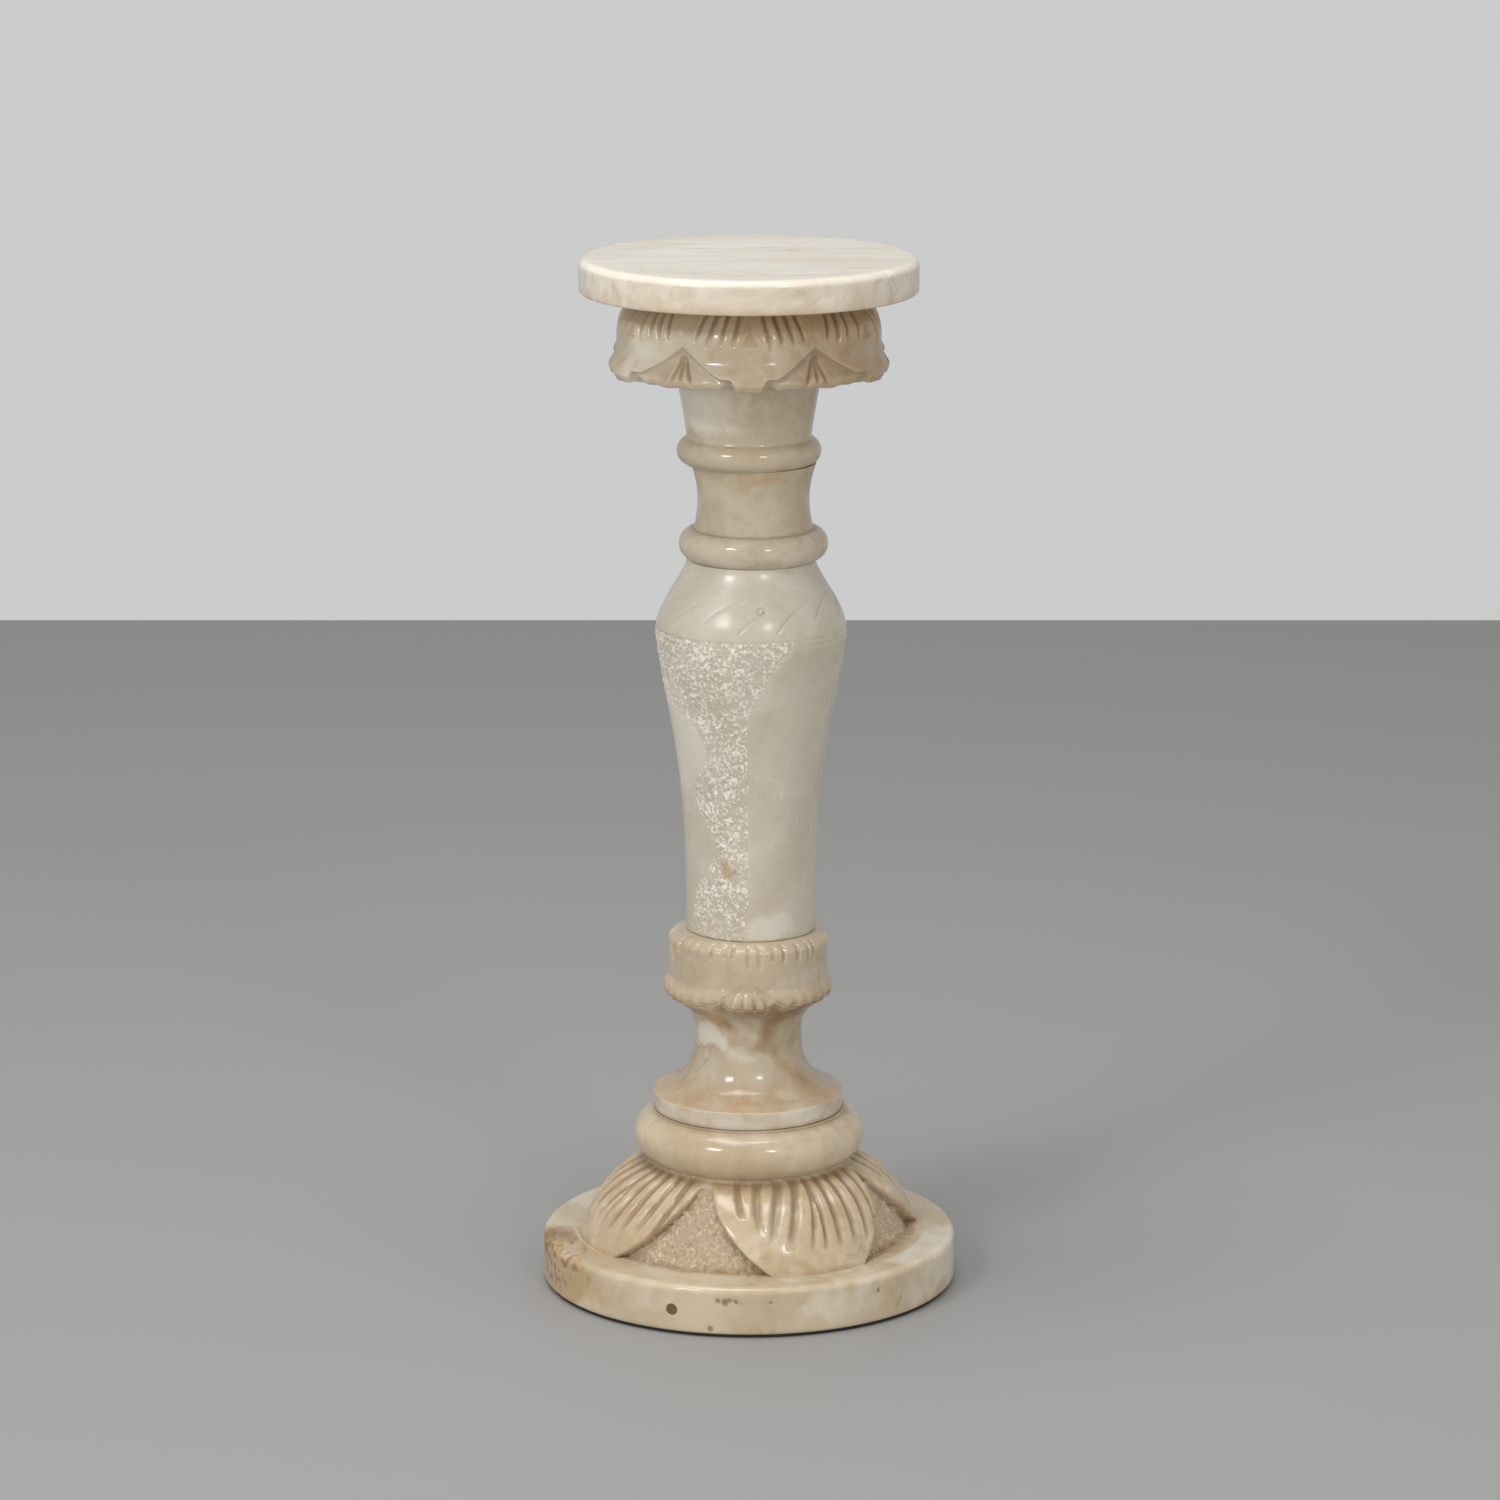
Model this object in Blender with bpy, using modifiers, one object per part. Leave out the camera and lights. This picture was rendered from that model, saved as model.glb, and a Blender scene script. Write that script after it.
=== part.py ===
"""Pedestal column of cream translucent stone: turned and carved pieces stacked on a felt pad.

Metres, +Z up. The front faces -Y and the pad's underside rests on z = 0. Each piece has its origin
on its own axis, at its underside, and is placed there by its location.
"""

from dataclasses import dataclass
from math import atan2, cos, hypot, pi, radians, sin, tau

import bmesh
import bpy

# Joints between the pieces

GAP = 0.0003              # left between pieces that rest on each other
MERGE_DISTANCE = 0.00002

# Felt pad

FELT_THICKNESS = 0.0020
FELT_INSET = 0.0025       # from the plinth's side in to the felt's

# Base: plinth disc, carved bell and torus in one piece

PLINTH_RADIUS = 0.1400
PLINTH_HEIGHT = 0.0320
PLINTH_EDGE = 0.0045      # rounding of its upper edge
PLINTH_CHAMFER = 0.0012   # of its lower edge
BELL_HEIGHT = 0.0500
BELL_FOOT_RADIUS = 0.1070     # of the sunk ground, where it meets the plinth
BELL_TIP_RADIUS = 0.1165      # of the leaf tips, where they meet the plinth
BELL_TOP_RADIUS = 0.0725      # in the crease under the torus
BELL_BULGE = 0.55             # of a leaf: 0 for a straight cone, 1 for a full quarter round
TORUS_RADIUS = 0.0782
TORUS_HEIGHT = 0.0360
TORUS_LEDGE = 0.0015          # of the torus top, outside the dish that stands on it
TORUS_START = 66.0            # degrees above level where its round begins
TORUS_END = -58.0             # and where it ends

BELL_LEAVES = 4
BELL_LEAF_TURN = 22.5         # degrees from the front to the first midrib
BELL_FLUTES = 8               # on each leaf
BELL_FLUTE_DEPTH = 0.0026
BELL_FLUTE_FADE = 0.66        # share of the way down at which the flutes start to run out
BELL_FLUTE_END = 0.90
BELL_PLAIN_RIM = 0.20         # share of a leaf, at its outline, that is left without flutes
BELL_SIDE_COLUMNS = 1         # facets on the steep side of a leaf
BELL_GROUND_COLUMNS = 3       # facets from there to the middle of the sunk ground
BELL_LEAF_TAPER = 0.45        # how a leaf narrows on its way down, as shares of its spacing
BELL_LEAF_ROUND = 0.22
BELL_LEAF_SIDE = 0.05         # width of a leaf's steep side

PLUG_RADIUS = 0.0040          # stopped hole in the plinth's side
PLUG_DEPTH = 0.0015
PLUG_HEIGHT = 0.0150
PLUG_TURN = -21.5             # degrees from the front

# Stem: dish, waist and small leaf collar in one piece

DISH_RADIUS = 0.0641
DISH_THICKNESS = 0.0122       # of its upright edge
DISH_EDGE = 0.0008
DISH_SLOPE = 0.0022           # fall of the dish's outermost part, out to its edge
DISH_HOLLOW_START = 20.0      # degrees of the quarter round from the waist to the dish
DISH_HOLLOW_END = 76.0
WAIST_RADIUS = 0.0364
WAIST_HEIGHT = 0.0110
STEM_HEIGHT = 0.1248
STEM_LEDGE = 0.0026           # of the collar's top, outside the body that stands on it
STEM_SLIP = -0.0007           # off the base's axis, towards -X

STEM_COLLAR_RADIUS = 0.0535
STEM_LIP_RADIUS = 0.0577
STEM_COLLAR_LENGTH = 0.0430   # from its top down to the leaves' lip
STEM_UNDERCUT = 0.0240        # from the lip down to the waist
STEM_LIP_WIDTH = 0.0025       # of the lip's underside
STEM_LIP_FALL = 0.0022
STEM_UNDERCUT_BEND = 0.8      # 1 for a quarter round; less draws in faster under the lip

# Body: long taper and swollen shoulder

BODY_HEIGHT = 0.2529
BODY_FOOT_RADIUS = 0.0439
BODY_BELLY_RADIUS = 0.0640
BODY_BELLY_HEIGHT = 0.2030
BODY_SHOULDER_BEND = 1.4      # more than 1 hollows the shoulder towards the neck
BODY_TAPER_START = 0.7        # less than 1 leaves the belly sooner
BODY_TAPER_BEND = 2.9         # more makes the foot of the taper straighter
BODY_SLIP = 0.0013

# Neck: hollow neck with the ring at its foot

NECK_HEIGHT = 0.0644
NECK_FOOT_RADIUS = 0.0428     # shared with the top of the body
NECK_RING_RADIUS = 0.0497
NECK_RING_HEIGHT = 0.0206
NECK_CREASE_RADIUS = 0.0399
NECK_WAIST_RADIUS = 0.0373
NECK_WAIST_HEIGHT = 0.0404
NECK_SLIP = 0.0030

# The rounded rings of neck and capital

RING_REACH = 1.15             # of the round's depth, as a share of how far the ring stands out
RING_START = 72.0             # degrees above level where the round begins
RING_END = -68.0              # and where it ends

# Capital: ring, tapering neck and drooping leaf collar in one piece

CAPITAL_HEIGHT = 0.1141
CAPITAL_FOOT_RADIUS = 0.0418  # shared with the top of the neck
CAPITAL_RING_RADIUS = 0.0480
CAPITAL_RING_HEIGHT = 0.0166
CAPITAL_CREASE_RADIUS = 0.0414
CAPITAL_THROAT_RADIUS = 0.0478    # under the leaves
CAPITAL_COLLAR_RADIUS = 0.0866
CAPITAL_LIP_RADIUS = 0.0937
CAPITAL_TOP_RADIUS = 0.0745
CAPITAL_COLLAR_LENGTH = 0.0510
CAPITAL_UNDERCUT = 0.0070         # from the leaves' lip down to the throat
CAPITAL_LIP_WIDTH = 0.0050        # of the lip's underside
CAPITAL_LIP_FALL = 0.0012
CAPITAL_TAPER_BEND = 1.2          # 1 for a straight taper; more hollows it

# Top plate

PLATE_RADIUS = 0.1123
PLATE_THICKNESS = 0.0227
PLATE_TOP_EDGE = 0.0045
PLATE_LOWER_EDGE = 0.0020

# Facets round each piece

PLAIN_SEGMENTS = 40
PLATE_SEGMENTS = 48
SMOOTH_UP_TO = 34.0           # degrees; a sharper fold stays a crease


@dataclass
class Collar:
    """A ring of hanging leaves with a small fan under each place where two leaves meet.

    Heights are in the piece's own frame, and shares run from 0 at the top to 1 at the lip.
    """
    leaves: int
    turn: float           # degrees from the front to the first midrib
    top: float
    length: float         # from the top down to the lip
    top_radius: float
    radius: float         # of the face, in the valleys between the leaves
    lip_radius: float
    shoulder: float       # share at which the rounded shoulder ends
    flare: float          # share at which the face starts to flare
    apex: float           # share at which two leaves part and a fan starts
    tip: float            # half width of a leaf at the lip, in half spacings
    crown: float          # how far a midrib stands out from the valleys
    step: float           # how far the fans lie behind the leaves
    flutes: int           # on each leaf
    flute_depth: float
    flute_end: float      # share at which the flutes run out
    notch: float          # rise of the lip where leaf and fan meet
    curl: float           # how far the lip turns back in below its widest line

    @property
    def lip(self):
        return self.top - self.length

    @property
    def segments(self):
        return 2 * self.leaves * self.flutes


# Places on every collar, as shares of its length or of half a leaf's spacing

SEAM = 0.78               # on the turned blank; carving moves it to the edge of leaf and fan
SEAM_WIDTH = 0.03
WIDEST = 0.93             # share at which the flared lip is widest
TIP_SHARE = 0.955         # a leaf's tip ends just above the lip
NOTCH_PLACE = 0.34        # from the leaf's tip to the middle of the fan
NOTCH_WIDTH = 0.17
FULL_RELIEF = 0.6         # of the shoulder: where crown and flutes reach their full depth
FLUTE_FADE = 0.6          # of the flutes' end: where they start to run out
FAN_FADE = 0.85           # where the fans start to run out into the lip

CAPITAL_COLLAR = Collar(
    leaves=6, turn=0.0, top=CAPITAL_HEIGHT, length=CAPITAL_COLLAR_LENGTH,
    top_radius=CAPITAL_TOP_RADIUS, radius=CAPITAL_COLLAR_RADIUS, lip_radius=CAPITAL_LIP_RADIUS,
    shoulder=0.50, flare=0.62, apex=0.52, tip=0.0, crown=0.0030, step=0.0022,
    flutes=6, flute_depth=0.0034, flute_end=0.50, notch=0.0042, curl=0.0022)

STEM_COLLAR = Collar(
    leaves=4, turn=45.0, top=STEM_HEIGHT, length=STEM_COLLAR_LENGTH,
    top_radius=BODY_FOOT_RADIUS + STEM_LEDGE, radius=STEM_COLLAR_RADIUS, lip_radius=STEM_LIP_RADIUS,
    shoulder=0.16, flare=0.70, apex=0.50, tip=0.40, crown=0.0012, step=0.0012,
    flutes=8, flute_depth=0.0022, flute_end=0.38, notch=0.0048, curl=0.0006)


def share(value, start, end):
    """How far a value is on its way from start to end, held between 0 and 1."""
    return min(max((value - start) / (end - start), 0.0), 1.0)


def between(start, end, part):
    return start + (end - start) * part


def arc(middle, reach, start, end, steps):
    """Points of a profile along an ellipse; angles in degrees, 0 straight out and 90 straight up."""
    points = []
    for step in range(steps + 1):
        turn = radians(between(start, end, step / steps))
        points.append((middle[0] + reach[0] * cos(turn), middle[1] + reach[1] * sin(turn)))
    return points


def sweep(start, end, bend, steps):
    """Points of a profile after start and before end; bend gives the share of the radius change."""
    points = []
    for step in range(1, steps):
        part = step / steps
        radius = between(start[0], end[0], bend(part))
        points.append((radius, between(start[1], end[1], part)))
    return points


def stone(name, colour, roughness):
    material = bpy.data.materials.new(name)
    material.use_nodes = True
    shader = material.node_tree.nodes["Principled BSDF"]
    shader.inputs["Base Color"].default_value = (*colour, 1.0)
    shader.inputs["Roughness"].default_value = roughness
    shader.inputs["Metallic"].default_value = 0.0
    return material


def new_collection(name):
    collection = bpy.data.collections.new(name)
    bpy.context.scene.collection.children.link(collection)
    return collection


def shade_round(mesh):
    mesh.shade_smooth()
    mesh.set_sharp_from_angle(angle=radians(SMOOTH_UP_TO))


def turned(name, outline, segments, material, collection):
    """A piece turned on its axis from an outline of (radius, height) points, top to bottom."""
    points = [(0.0, outline[0][1]), *outline, (0.0, outline[-1][1])]
    mesh = bpy.data.meshes.new(name)
    vertices = [(radius, 0.0, height) for radius, height in points]
    edges = [(index, index + 1) for index in range(len(points) - 1)]
    mesh.from_pydata(vertices, edges, [])
    mesh.materials.append(material)
    piece = bpy.data.objects.new(name, mesh)
    collection.objects.link(piece)

    lathe = piece.modifiers.new("Lathe", "SCREW")
    lathe.steps = segments
    lathe.render_steps = segments
    lathe.use_merge_vertices = True
    lathe.merge_threshold = MERGE_DISTANCE
    return piece


def carve(piece, cut, plain):
    """Moves each point of a turned piece; cut takes and gives its radius, height and angle.

    Where plain says so, every second column of facets is welded to the one beside it.
    """
    graph = bpy.context.evaluated_depsgraph_get()
    segments = piece.modifiers["Lathe"].steps
    mesh = bpy.data.meshes.new_from_object(piece.evaluated_get(graph))
    mesh.name = piece.name
    body = bmesh.new()
    body.from_mesh(mesh)

    column = {}
    for vertex in body.verts:
        turn = round(atan2(vertex.co.y, vertex.co.x) * segments / tau) % segments
        radius = hypot(vertex.co.x, vertex.co.y)
        column[turn, round(radius, 6), round(vertex.co.z, 6)] = vertex
    welds = {}
    for (turn, radius, height), vertex in column.items():
        if turn % 2 and radius > 0.0 and plain(radius, height):
            welds[vertex] = column[turn - 1, radius, height]
    bmesh.ops.weld_verts(body, targetmap=welds)

    for vertex in body.verts:
        across, deep, height = vertex.co
        radius, height, angle = cut(hypot(across, deep), height, atan2(across, -deep))
        vertex.co = (radius * sin(angle), -radius * cos(angle), height)
    body.to_mesh(mesh)
    body.free()
    piece.modifiers.clear()
    piece.data = mesh
    shade_round(mesh)


def leaf_phase(angle, leaves, turn):
    """0 on the nearest leaf's midrib, and 1 or -1 halfway to the next leaf."""
    turns = (angle - radians(turn)) * leaves / tau
    return 2.0 * (turns - round(turns))


def ripple(phase, flutes):
    """0 on the ridges and 1 in the grooves of the flutes across one leaf."""
    return 0.5 - 0.5 * cos(pi * phase * flutes)


def ease(part):
    return part * part * (3.0 - 2.0 * part)


def face_radius(collar, down):
    """Radius of a collar's face at a share of the way down: shoulder, face and flared lip."""
    shoulder = sin(pi / 2 * share(down, 0.0, collar.shoulder))
    flare = ease(share(down, collar.flare, WIDEST))
    radius = between(collar.top_radius, collar.radius, shoulder)
    radius += flare * (collar.lip_radius - collar.radius)
    return radius - collar.curl * share(down, WIDEST, 1.0)


def collar_face(collar, shoulder_steps, face_shares):
    """The blank's points from the collar's top to its lip."""
    shares = [collar.shoulder * step / shoulder_steps for step in range(shoulder_steps + 1)]
    shares += face_shares
    shares += [SEAM, SEAM + SEAM_WIDTH, WIDEST, 1.0]
    return [(face_radius(collar, down), collar.top - collar.length * down) for down in shares]


def collar_cut(collar, throat_radius):
    """The carving of a leaf collar."""
    def cut(radius, height, angle):
        phase = abs(leaf_phase(angle, collar.leaves, collar.turn))
        middle = between(collar.tip, 1.0, NOTCH_PLACE)
        dent = collar.notch * (1.0 - share(abs(phase - middle), 0.0, NOTCH_WIDTH))
        down = (collar.top - height) / collar.length
        if down > 1.001:
            height += dent * share(radius, throat_radius, collar.lip_radius) ** 2
            return radius, height, angle
        if radius < collar.top_radius - MERGE_DISTANCE:
            return radius, height, angle

        on_leaf = down <= SEAM + MERGE_DISTANCE
        edge = between(TIP_SHARE, collar.apex, share(phase, collar.tip, 1.0))
        if down > collar.shoulder:
            if on_leaf:
                down = between(collar.shoulder, edge, share(down, collar.shoulder, SEAM))
            else:
                down = between(edge, 1.0, share(down, SEAM, 1.0))
        radius = face_radius(collar, down)
        relief = share(down, 0.0, FULL_RELIEF * collar.shoulder)
        if on_leaf:
            groove = relief * share(down, collar.flute_end, FLUTE_FADE * collar.flute_end)
            radius -= collar.flute_depth * groove * ripple(phase, collar.flutes)
            radius += collar.crown * relief * (1.0 - phase ** 2)
        else:
            radius -= collar.step * share(down, 1.0, FAN_FADE)
        height = collar.top - collar.length * down
        height += dent * share(down, collar.apex, 1.0)
        return radius, height, angle
    return cut


def bell_segments():
    columns = BELL_FLUTES + BELL_SIDE_COLUMNS + BELL_GROUND_COLUMNS
    return 2 * BELL_LEAVES * columns


def bell_cut(foot, top):
    """The carving of the bell: flutes on its leaves, and the ground between them sunk to a cone.

    The columns of facets are drawn together towards each leaf's tip, so that one of them follows
    the leaf's outline.
    """
    columns = BELL_FLUTES + BELL_SIDE_COLUMNS + BELL_GROUND_COLUMNS
    leaf_edge = BELL_FLUTES / columns
    side_foot = (BELL_FLUTES + BELL_SIDE_COLUMNS) / columns

    def cut(radius, height, angle):
        inside = radius < BELL_TIP_RADIUS + MERGE_DISTANCE
        if not inside or not foot - MERGE_DISTANCE < height < top - MERGE_DISTANCE:
            return radius, height, angle
        down = share(height, top, foot)
        phase = leaf_phase(angle, BELL_LEAVES, BELL_LEAF_TURN)
        across = abs(phase)
        half_width = 1.0 - BELL_LEAF_TAPER * down - BELL_LEAF_ROUND * down ** 2 - BELL_LEAF_SIDE
        if across <= leaf_edge + MERGE_DISTANCE:
            drawn = half_width * across / leaf_edge
        else:
            ground_part = share(across, side_foot, 1.0)
            side_part = share(across, leaf_edge, side_foot)
            drawn = half_width + BELL_LEAF_SIDE * side_part
            drawn = between(drawn, 1.0, ground_part)
            radius = between(BELL_TOP_RADIUS, BELL_FOOT_RADIUS, down)
        groove = share(down, BELL_FLUTE_END, BELL_FLUTE_FADE)
        groove *= share(across, leaf_edge, (1.0 - BELL_PLAIN_RIM) * leaf_edge)
        radius -= BELL_FLUTE_DEPTH * groove * ripple(across / leaf_edge, BELL_FLUTES)
        turned_by = (drawn - across) * (1.0 if phase >= 0.0 else -1.0) * pi / BELL_LEAVES
        return radius, height, angle + turned_by
    return cut


def felt_outline():
    radius = PLINTH_RADIUS - FELT_INSET
    return [(radius, FELT_THICKNESS), (radius, 0.0)]


def bell_leaf_outline(start, end, steps):
    """Points down a leaf's midrib, between a straight line and a quarter round."""
    points = []
    for step in range(1, steps):
        part = step / steps
        turn = pi / 2 * part
        radius = between(part, sin(turn), BELL_BULGE)
        drop = between(part, 1.0 - cos(turn), BELL_BULGE)
        points.append((between(start[0], end[0], radius), between(start[1], end[1], drop)))
    return points


def base_outline():
    """Torus top, torus, bell as wide as its leaves, plinth top and plinth side."""
    crease = PLINTH_HEIGHT + BELL_HEIGHT
    torus_top = DISH_RADIUS + TORUS_LEDGE
    torus_half = 0.5 * TORUS_HEIGHT
    torus_reach = TORUS_RADIUS - torus_top + 0.5 * torus_half
    torus_middle = (TORUS_RADIUS - torus_reach, crease + torus_half)
    outline = [(torus_top, crease + TORUS_HEIGHT)]
    outline += arc(torus_middle, (torus_reach, torus_half), TORUS_START, TORUS_END, 6)
    start = (BELL_TOP_RADIUS, crease)
    end = (BELL_TIP_RADIUS, PLINTH_HEIGHT)
    outline.append(start)
    outline += bell_leaf_outline(start, end, 5)
    outline.append(end)
    side = PLINTH_RADIUS - PLINTH_EDGE
    outline += arc((side, PLINTH_HEIGHT - PLINTH_EDGE), (PLINTH_EDGE, PLINTH_EDGE), 90.0, 0.0, 2)
    outline.append((PLINTH_RADIUS, PLINTH_CHAMFER))
    outline.append((PLINTH_RADIUS - PLINTH_CHAMFER, 0.0))
    return outline


def stem_outline():
    """Leaf collar, undercut, waist, and dish with an upright edge."""
    outline = collar_face(STEM_COLLAR, 2, [0.40])
    lip = STEM_COLLAR.lip
    under_lip = (STEM_LIP_RADIUS - STEM_LIP_WIDTH, lip - STEM_LIP_FALL)
    outline.append(under_lip)
    waist_top = (WAIST_RADIUS, lip - STEM_UNDERCUT)
    outline += sweep(
        under_lip, waist_top, lambda part: sin(pi / 2 * part) ** STEM_UNDERCUT_BEND, 4)
    outline.append(waist_top)
    waist_foot = (WAIST_RADIUS, waist_top[1] - WAIST_HEIGHT)
    outline.append(waist_foot)
    rim = (DISH_RADIUS - DISH_EDGE, DISH_THICKNESS)
    hollow = (rim[0] - WAIST_RADIUS, waist_foot[1] - rim[1] - DISH_SLOPE)
    outline += arc(
        (rim[0], waist_foot[1]), (-hollow[0], -hollow[1]), DISH_HOLLOW_START, DISH_HOLLOW_END, 3)
    outline += [rim, (DISH_RADIUS, rim[1] - DISH_EDGE), (DISH_RADIUS, 0.0)]
    return outline


def body_outline():
    """Shoulder that swells to the belly, and the long taper down to the foot."""
    top = (NECK_FOOT_RADIUS, BODY_HEIGHT)
    belly = (BODY_BELLY_RADIUS, BODY_BELLY_HEIGHT)
    foot = (BODY_FOOT_RADIUS, 0.0)
    outline = [top]
    outline += sweep(top, belly, lambda part: sin(pi / 2 * part) ** BODY_SHOULDER_BEND, 5)
    outline.append(belly)
    outline += sweep(
        belly, foot,
        lambda part: 1.0 - cos(pi / 2 * part ** BODY_TAPER_START) ** BODY_TAPER_BEND, 9)
    outline.append(foot)
    return outline


def ring_outline(radius, foot_radius, crease_radius, height):
    """A rounded ring that stands on z = 0, from its upper crease down to its foot."""
    reach = RING_REACH * (radius - 0.5 * (foot_radius + crease_radius))
    middle = (radius - reach, 0.5 * height)
    outline = arc(middle, (reach, 0.5 * height), RING_START, RING_END, 5)
    return [(crease_radius, height), *outline, (foot_radius, 0.0)]


def neck_outline():
    """Hollow neck over the ring at its foot."""
    top = (CAPITAL_FOOT_RADIUS, NECK_HEIGHT)
    waist = (NECK_WAIST_RADIUS, NECK_WAIST_HEIGHT)
    ring = ring_outline(NECK_RING_RADIUS, NECK_FOOT_RADIUS, NECK_CREASE_RADIUS, NECK_RING_HEIGHT)
    outline = [top]
    outline += sweep(top, waist, lambda part: 1.0 - (1.0 - part) ** 2, 4)
    outline.append(waist)
    outline += sweep(waist, ring[0], lambda part: part ** 2, 2)
    return outline + ring


def capital_outline():
    """Leaf collar, its underside, tapering neck and ring."""
    outline = collar_face(CAPITAL_COLLAR, 3, [0.62])
    lip = CAPITAL_COLLAR.lip
    throat = (CAPITAL_THROAT_RADIUS, lip - CAPITAL_UNDERCUT)
    outline.append((CAPITAL_LIP_RADIUS - CAPITAL_LIP_WIDTH, lip - CAPITAL_LIP_FALL))
    outline.append(throat)
    ring = ring_outline(
        CAPITAL_RING_RADIUS, CAPITAL_FOOT_RADIUS, CAPITAL_CREASE_RADIUS, CAPITAL_RING_HEIGHT)
    outline += sweep(
        throat, ring[0], lambda part: 1.0 - (1.0 - part) ** CAPITAL_TAPER_BEND, 3)
    return outline + ring


def plate_outline():
    """Flat round plate with a rounded upper and lower edge."""
    top_edge = PLATE_RADIUS - PLATE_TOP_EDGE
    low_edge = PLATE_RADIUS - PLATE_LOWER_EDGE
    outline = arc(
        (top_edge, PLATE_THICKNESS - PLATE_TOP_EDGE), (PLATE_TOP_EDGE, PLATE_TOP_EDGE), 90.0, 0.0, 3)
    outline += arc((low_edge, PLATE_LOWER_EDGE), (PLATE_LOWER_EDGE, PLATE_LOWER_EDGE), 0.0, -90.0, 2)
    return outline


def drill_plug_hole(base, cutters):
    """The shallow recess over the stopped hole in the plinth's side."""
    turn = radians(PLUG_TURN)
    bit = bmesh.new()
    bmesh.ops.create_cone(
        bit, cap_ends=True, segments=16, radius1=PLUG_RADIUS, radius2=PLUG_RADIUS,
        depth=4.0 * PLUG_DEPTH)
    mesh = bpy.data.meshes.new("plug_bit")
    bit.to_mesh(mesh)
    bit.free()
    cutter = bpy.data.objects.new("plug_bit", mesh)
    cutters.objects.link(cutter)
    reach = PLINTH_RADIUS + PLUG_DEPTH
    base_x, base_y, base_z = base.location
    cutter.location = (base_x + reach * sin(turn), base_y - reach * cos(turn), base_z + PLUG_HEIGHT)
    cutter.rotation_euler = (radians(90.0), 0.0, turn)
    cutter.hide_render = True
    cutter.display_type = "WIRE"

    drill = base.modifiers.new("Plug hole", "BOOLEAN")
    drill.operation = "DIFFERENCE"
    drill.solver = "EXACT"
    drill.object = cutter


def build():
    for item in list(bpy.data.objects):
        bpy.data.objects.remove(item)
    column = new_collection("pedestal_column")
    cutters = new_collection("cutters")

    felt = stone("felt", (0.035, 0.032, 0.030), 0.95)
    plate_stone = stone("plate_stone", (0.80, 0.75, 0.66), 0.18)
    capital_stone = stone("capital_stone", (0.60, 0.52, 0.40), 0.28)
    body_stone = stone("body_stone", (0.68, 0.62, 0.50), 0.25)
    base_stone = stone("base_stone", (0.70, 0.62, 0.48), 0.26)

    crease = PLINTH_HEIGHT + BELL_HEIGHT
    base_carving = (
        bell_cut(PLINTH_HEIGHT, crease),
        lambda radius, height: radius > BELL_TIP_RADIUS + GAP or height > crease + GAP)
    stem_carving = (
        collar_cut(STEM_COLLAR, WAIST_RADIUS),
        lambda radius, height: height < STEM_COLLAR.lip - STEM_LIP_FALL - GAP)
    capital_carving = (
        collar_cut(CAPITAL_COLLAR, CAPITAL_THROAT_RADIUS),
        lambda radius, height: radius <= CAPITAL_THROAT_RADIUS + GAP)
    stack = (
        ("felt_pad", felt_outline(), PLAIN_SEGMENTS, felt, FELT_THICKNESS, 0.0, None),
        ("base", base_outline(), bell_segments(), base_stone,
         crease + TORUS_HEIGHT, 0.0, base_carving),
        ("stem", stem_outline(), STEM_COLLAR.segments, base_stone,
         STEM_HEIGHT, STEM_SLIP, stem_carving),
        ("body", body_outline(), PLAIN_SEGMENTS, body_stone, BODY_HEIGHT, BODY_SLIP, None),
        ("neck", neck_outline(), PLAIN_SEGMENTS, capital_stone, NECK_HEIGHT, NECK_SLIP, None),
        ("capital", capital_outline(), CAPITAL_COLLAR.segments, capital_stone,
         CAPITAL_HEIGHT, 0.0, capital_carving),
        ("top_plate", plate_outline(), PLATE_SEGMENTS, plate_stone, PLATE_THICKNESS, 0.0, None),
    )
    level = 0.0
    for name, outline, segments, material, height, slip, carving in stack:
        piece = turned(name, outline, segments, material, column)
        piece.location = (slip, 0.0, level)
        if carving:
            carve(piece, *carving)
        level += height + GAP
    drill_plug_hole(bpy.data.objects["base"], cutters)


build()
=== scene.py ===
# %% [markdown]
# Pedestal column of alabaster
# This lesson dresses the plain solids of a small stone pedestal. Every solid is turned again as a
# fine mesh, carved with leaves, flutes and incised lines, and given a polished, veined finish.
# The solids' own sizes are repeated here in metres, so each carved piece fits where its solid stands.

from math import cos, pi, radians, sin, tau

import bmesh
import bpy
import numpy as np
from mathutils import Matrix, Vector, noise


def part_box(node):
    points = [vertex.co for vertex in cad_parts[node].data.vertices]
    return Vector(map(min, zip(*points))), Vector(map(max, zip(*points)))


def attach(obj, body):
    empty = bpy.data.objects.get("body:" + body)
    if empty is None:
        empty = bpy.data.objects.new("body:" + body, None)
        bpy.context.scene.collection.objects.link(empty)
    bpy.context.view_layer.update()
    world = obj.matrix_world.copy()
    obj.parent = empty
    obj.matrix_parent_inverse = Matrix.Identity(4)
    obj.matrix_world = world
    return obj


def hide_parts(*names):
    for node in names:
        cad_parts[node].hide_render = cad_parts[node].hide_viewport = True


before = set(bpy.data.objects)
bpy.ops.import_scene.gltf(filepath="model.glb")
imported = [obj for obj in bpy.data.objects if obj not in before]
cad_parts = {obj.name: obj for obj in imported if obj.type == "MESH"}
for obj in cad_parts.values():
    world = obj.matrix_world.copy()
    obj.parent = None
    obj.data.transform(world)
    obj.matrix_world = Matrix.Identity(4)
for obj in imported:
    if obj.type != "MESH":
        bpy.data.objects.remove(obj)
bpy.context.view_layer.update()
print("solids:", sorted(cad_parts))

# %% [markdown]
# A finish is a small tree of nodes, and so is the room's light. These helpers add a node with its
# values and wires in one line, so that the finishes further down read like recipes.

# %% Node helpers
def feed(tree, node, wires):
    """Joins a node's inputs to values or to other nodes' outputs."""
    for socket, source in wires.items():
        if isinstance(source, bpy.types.NodeSocket):
            tree.links.new(source, node.inputs[socket])
        else:
            node.inputs[socket].default_value = source


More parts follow.
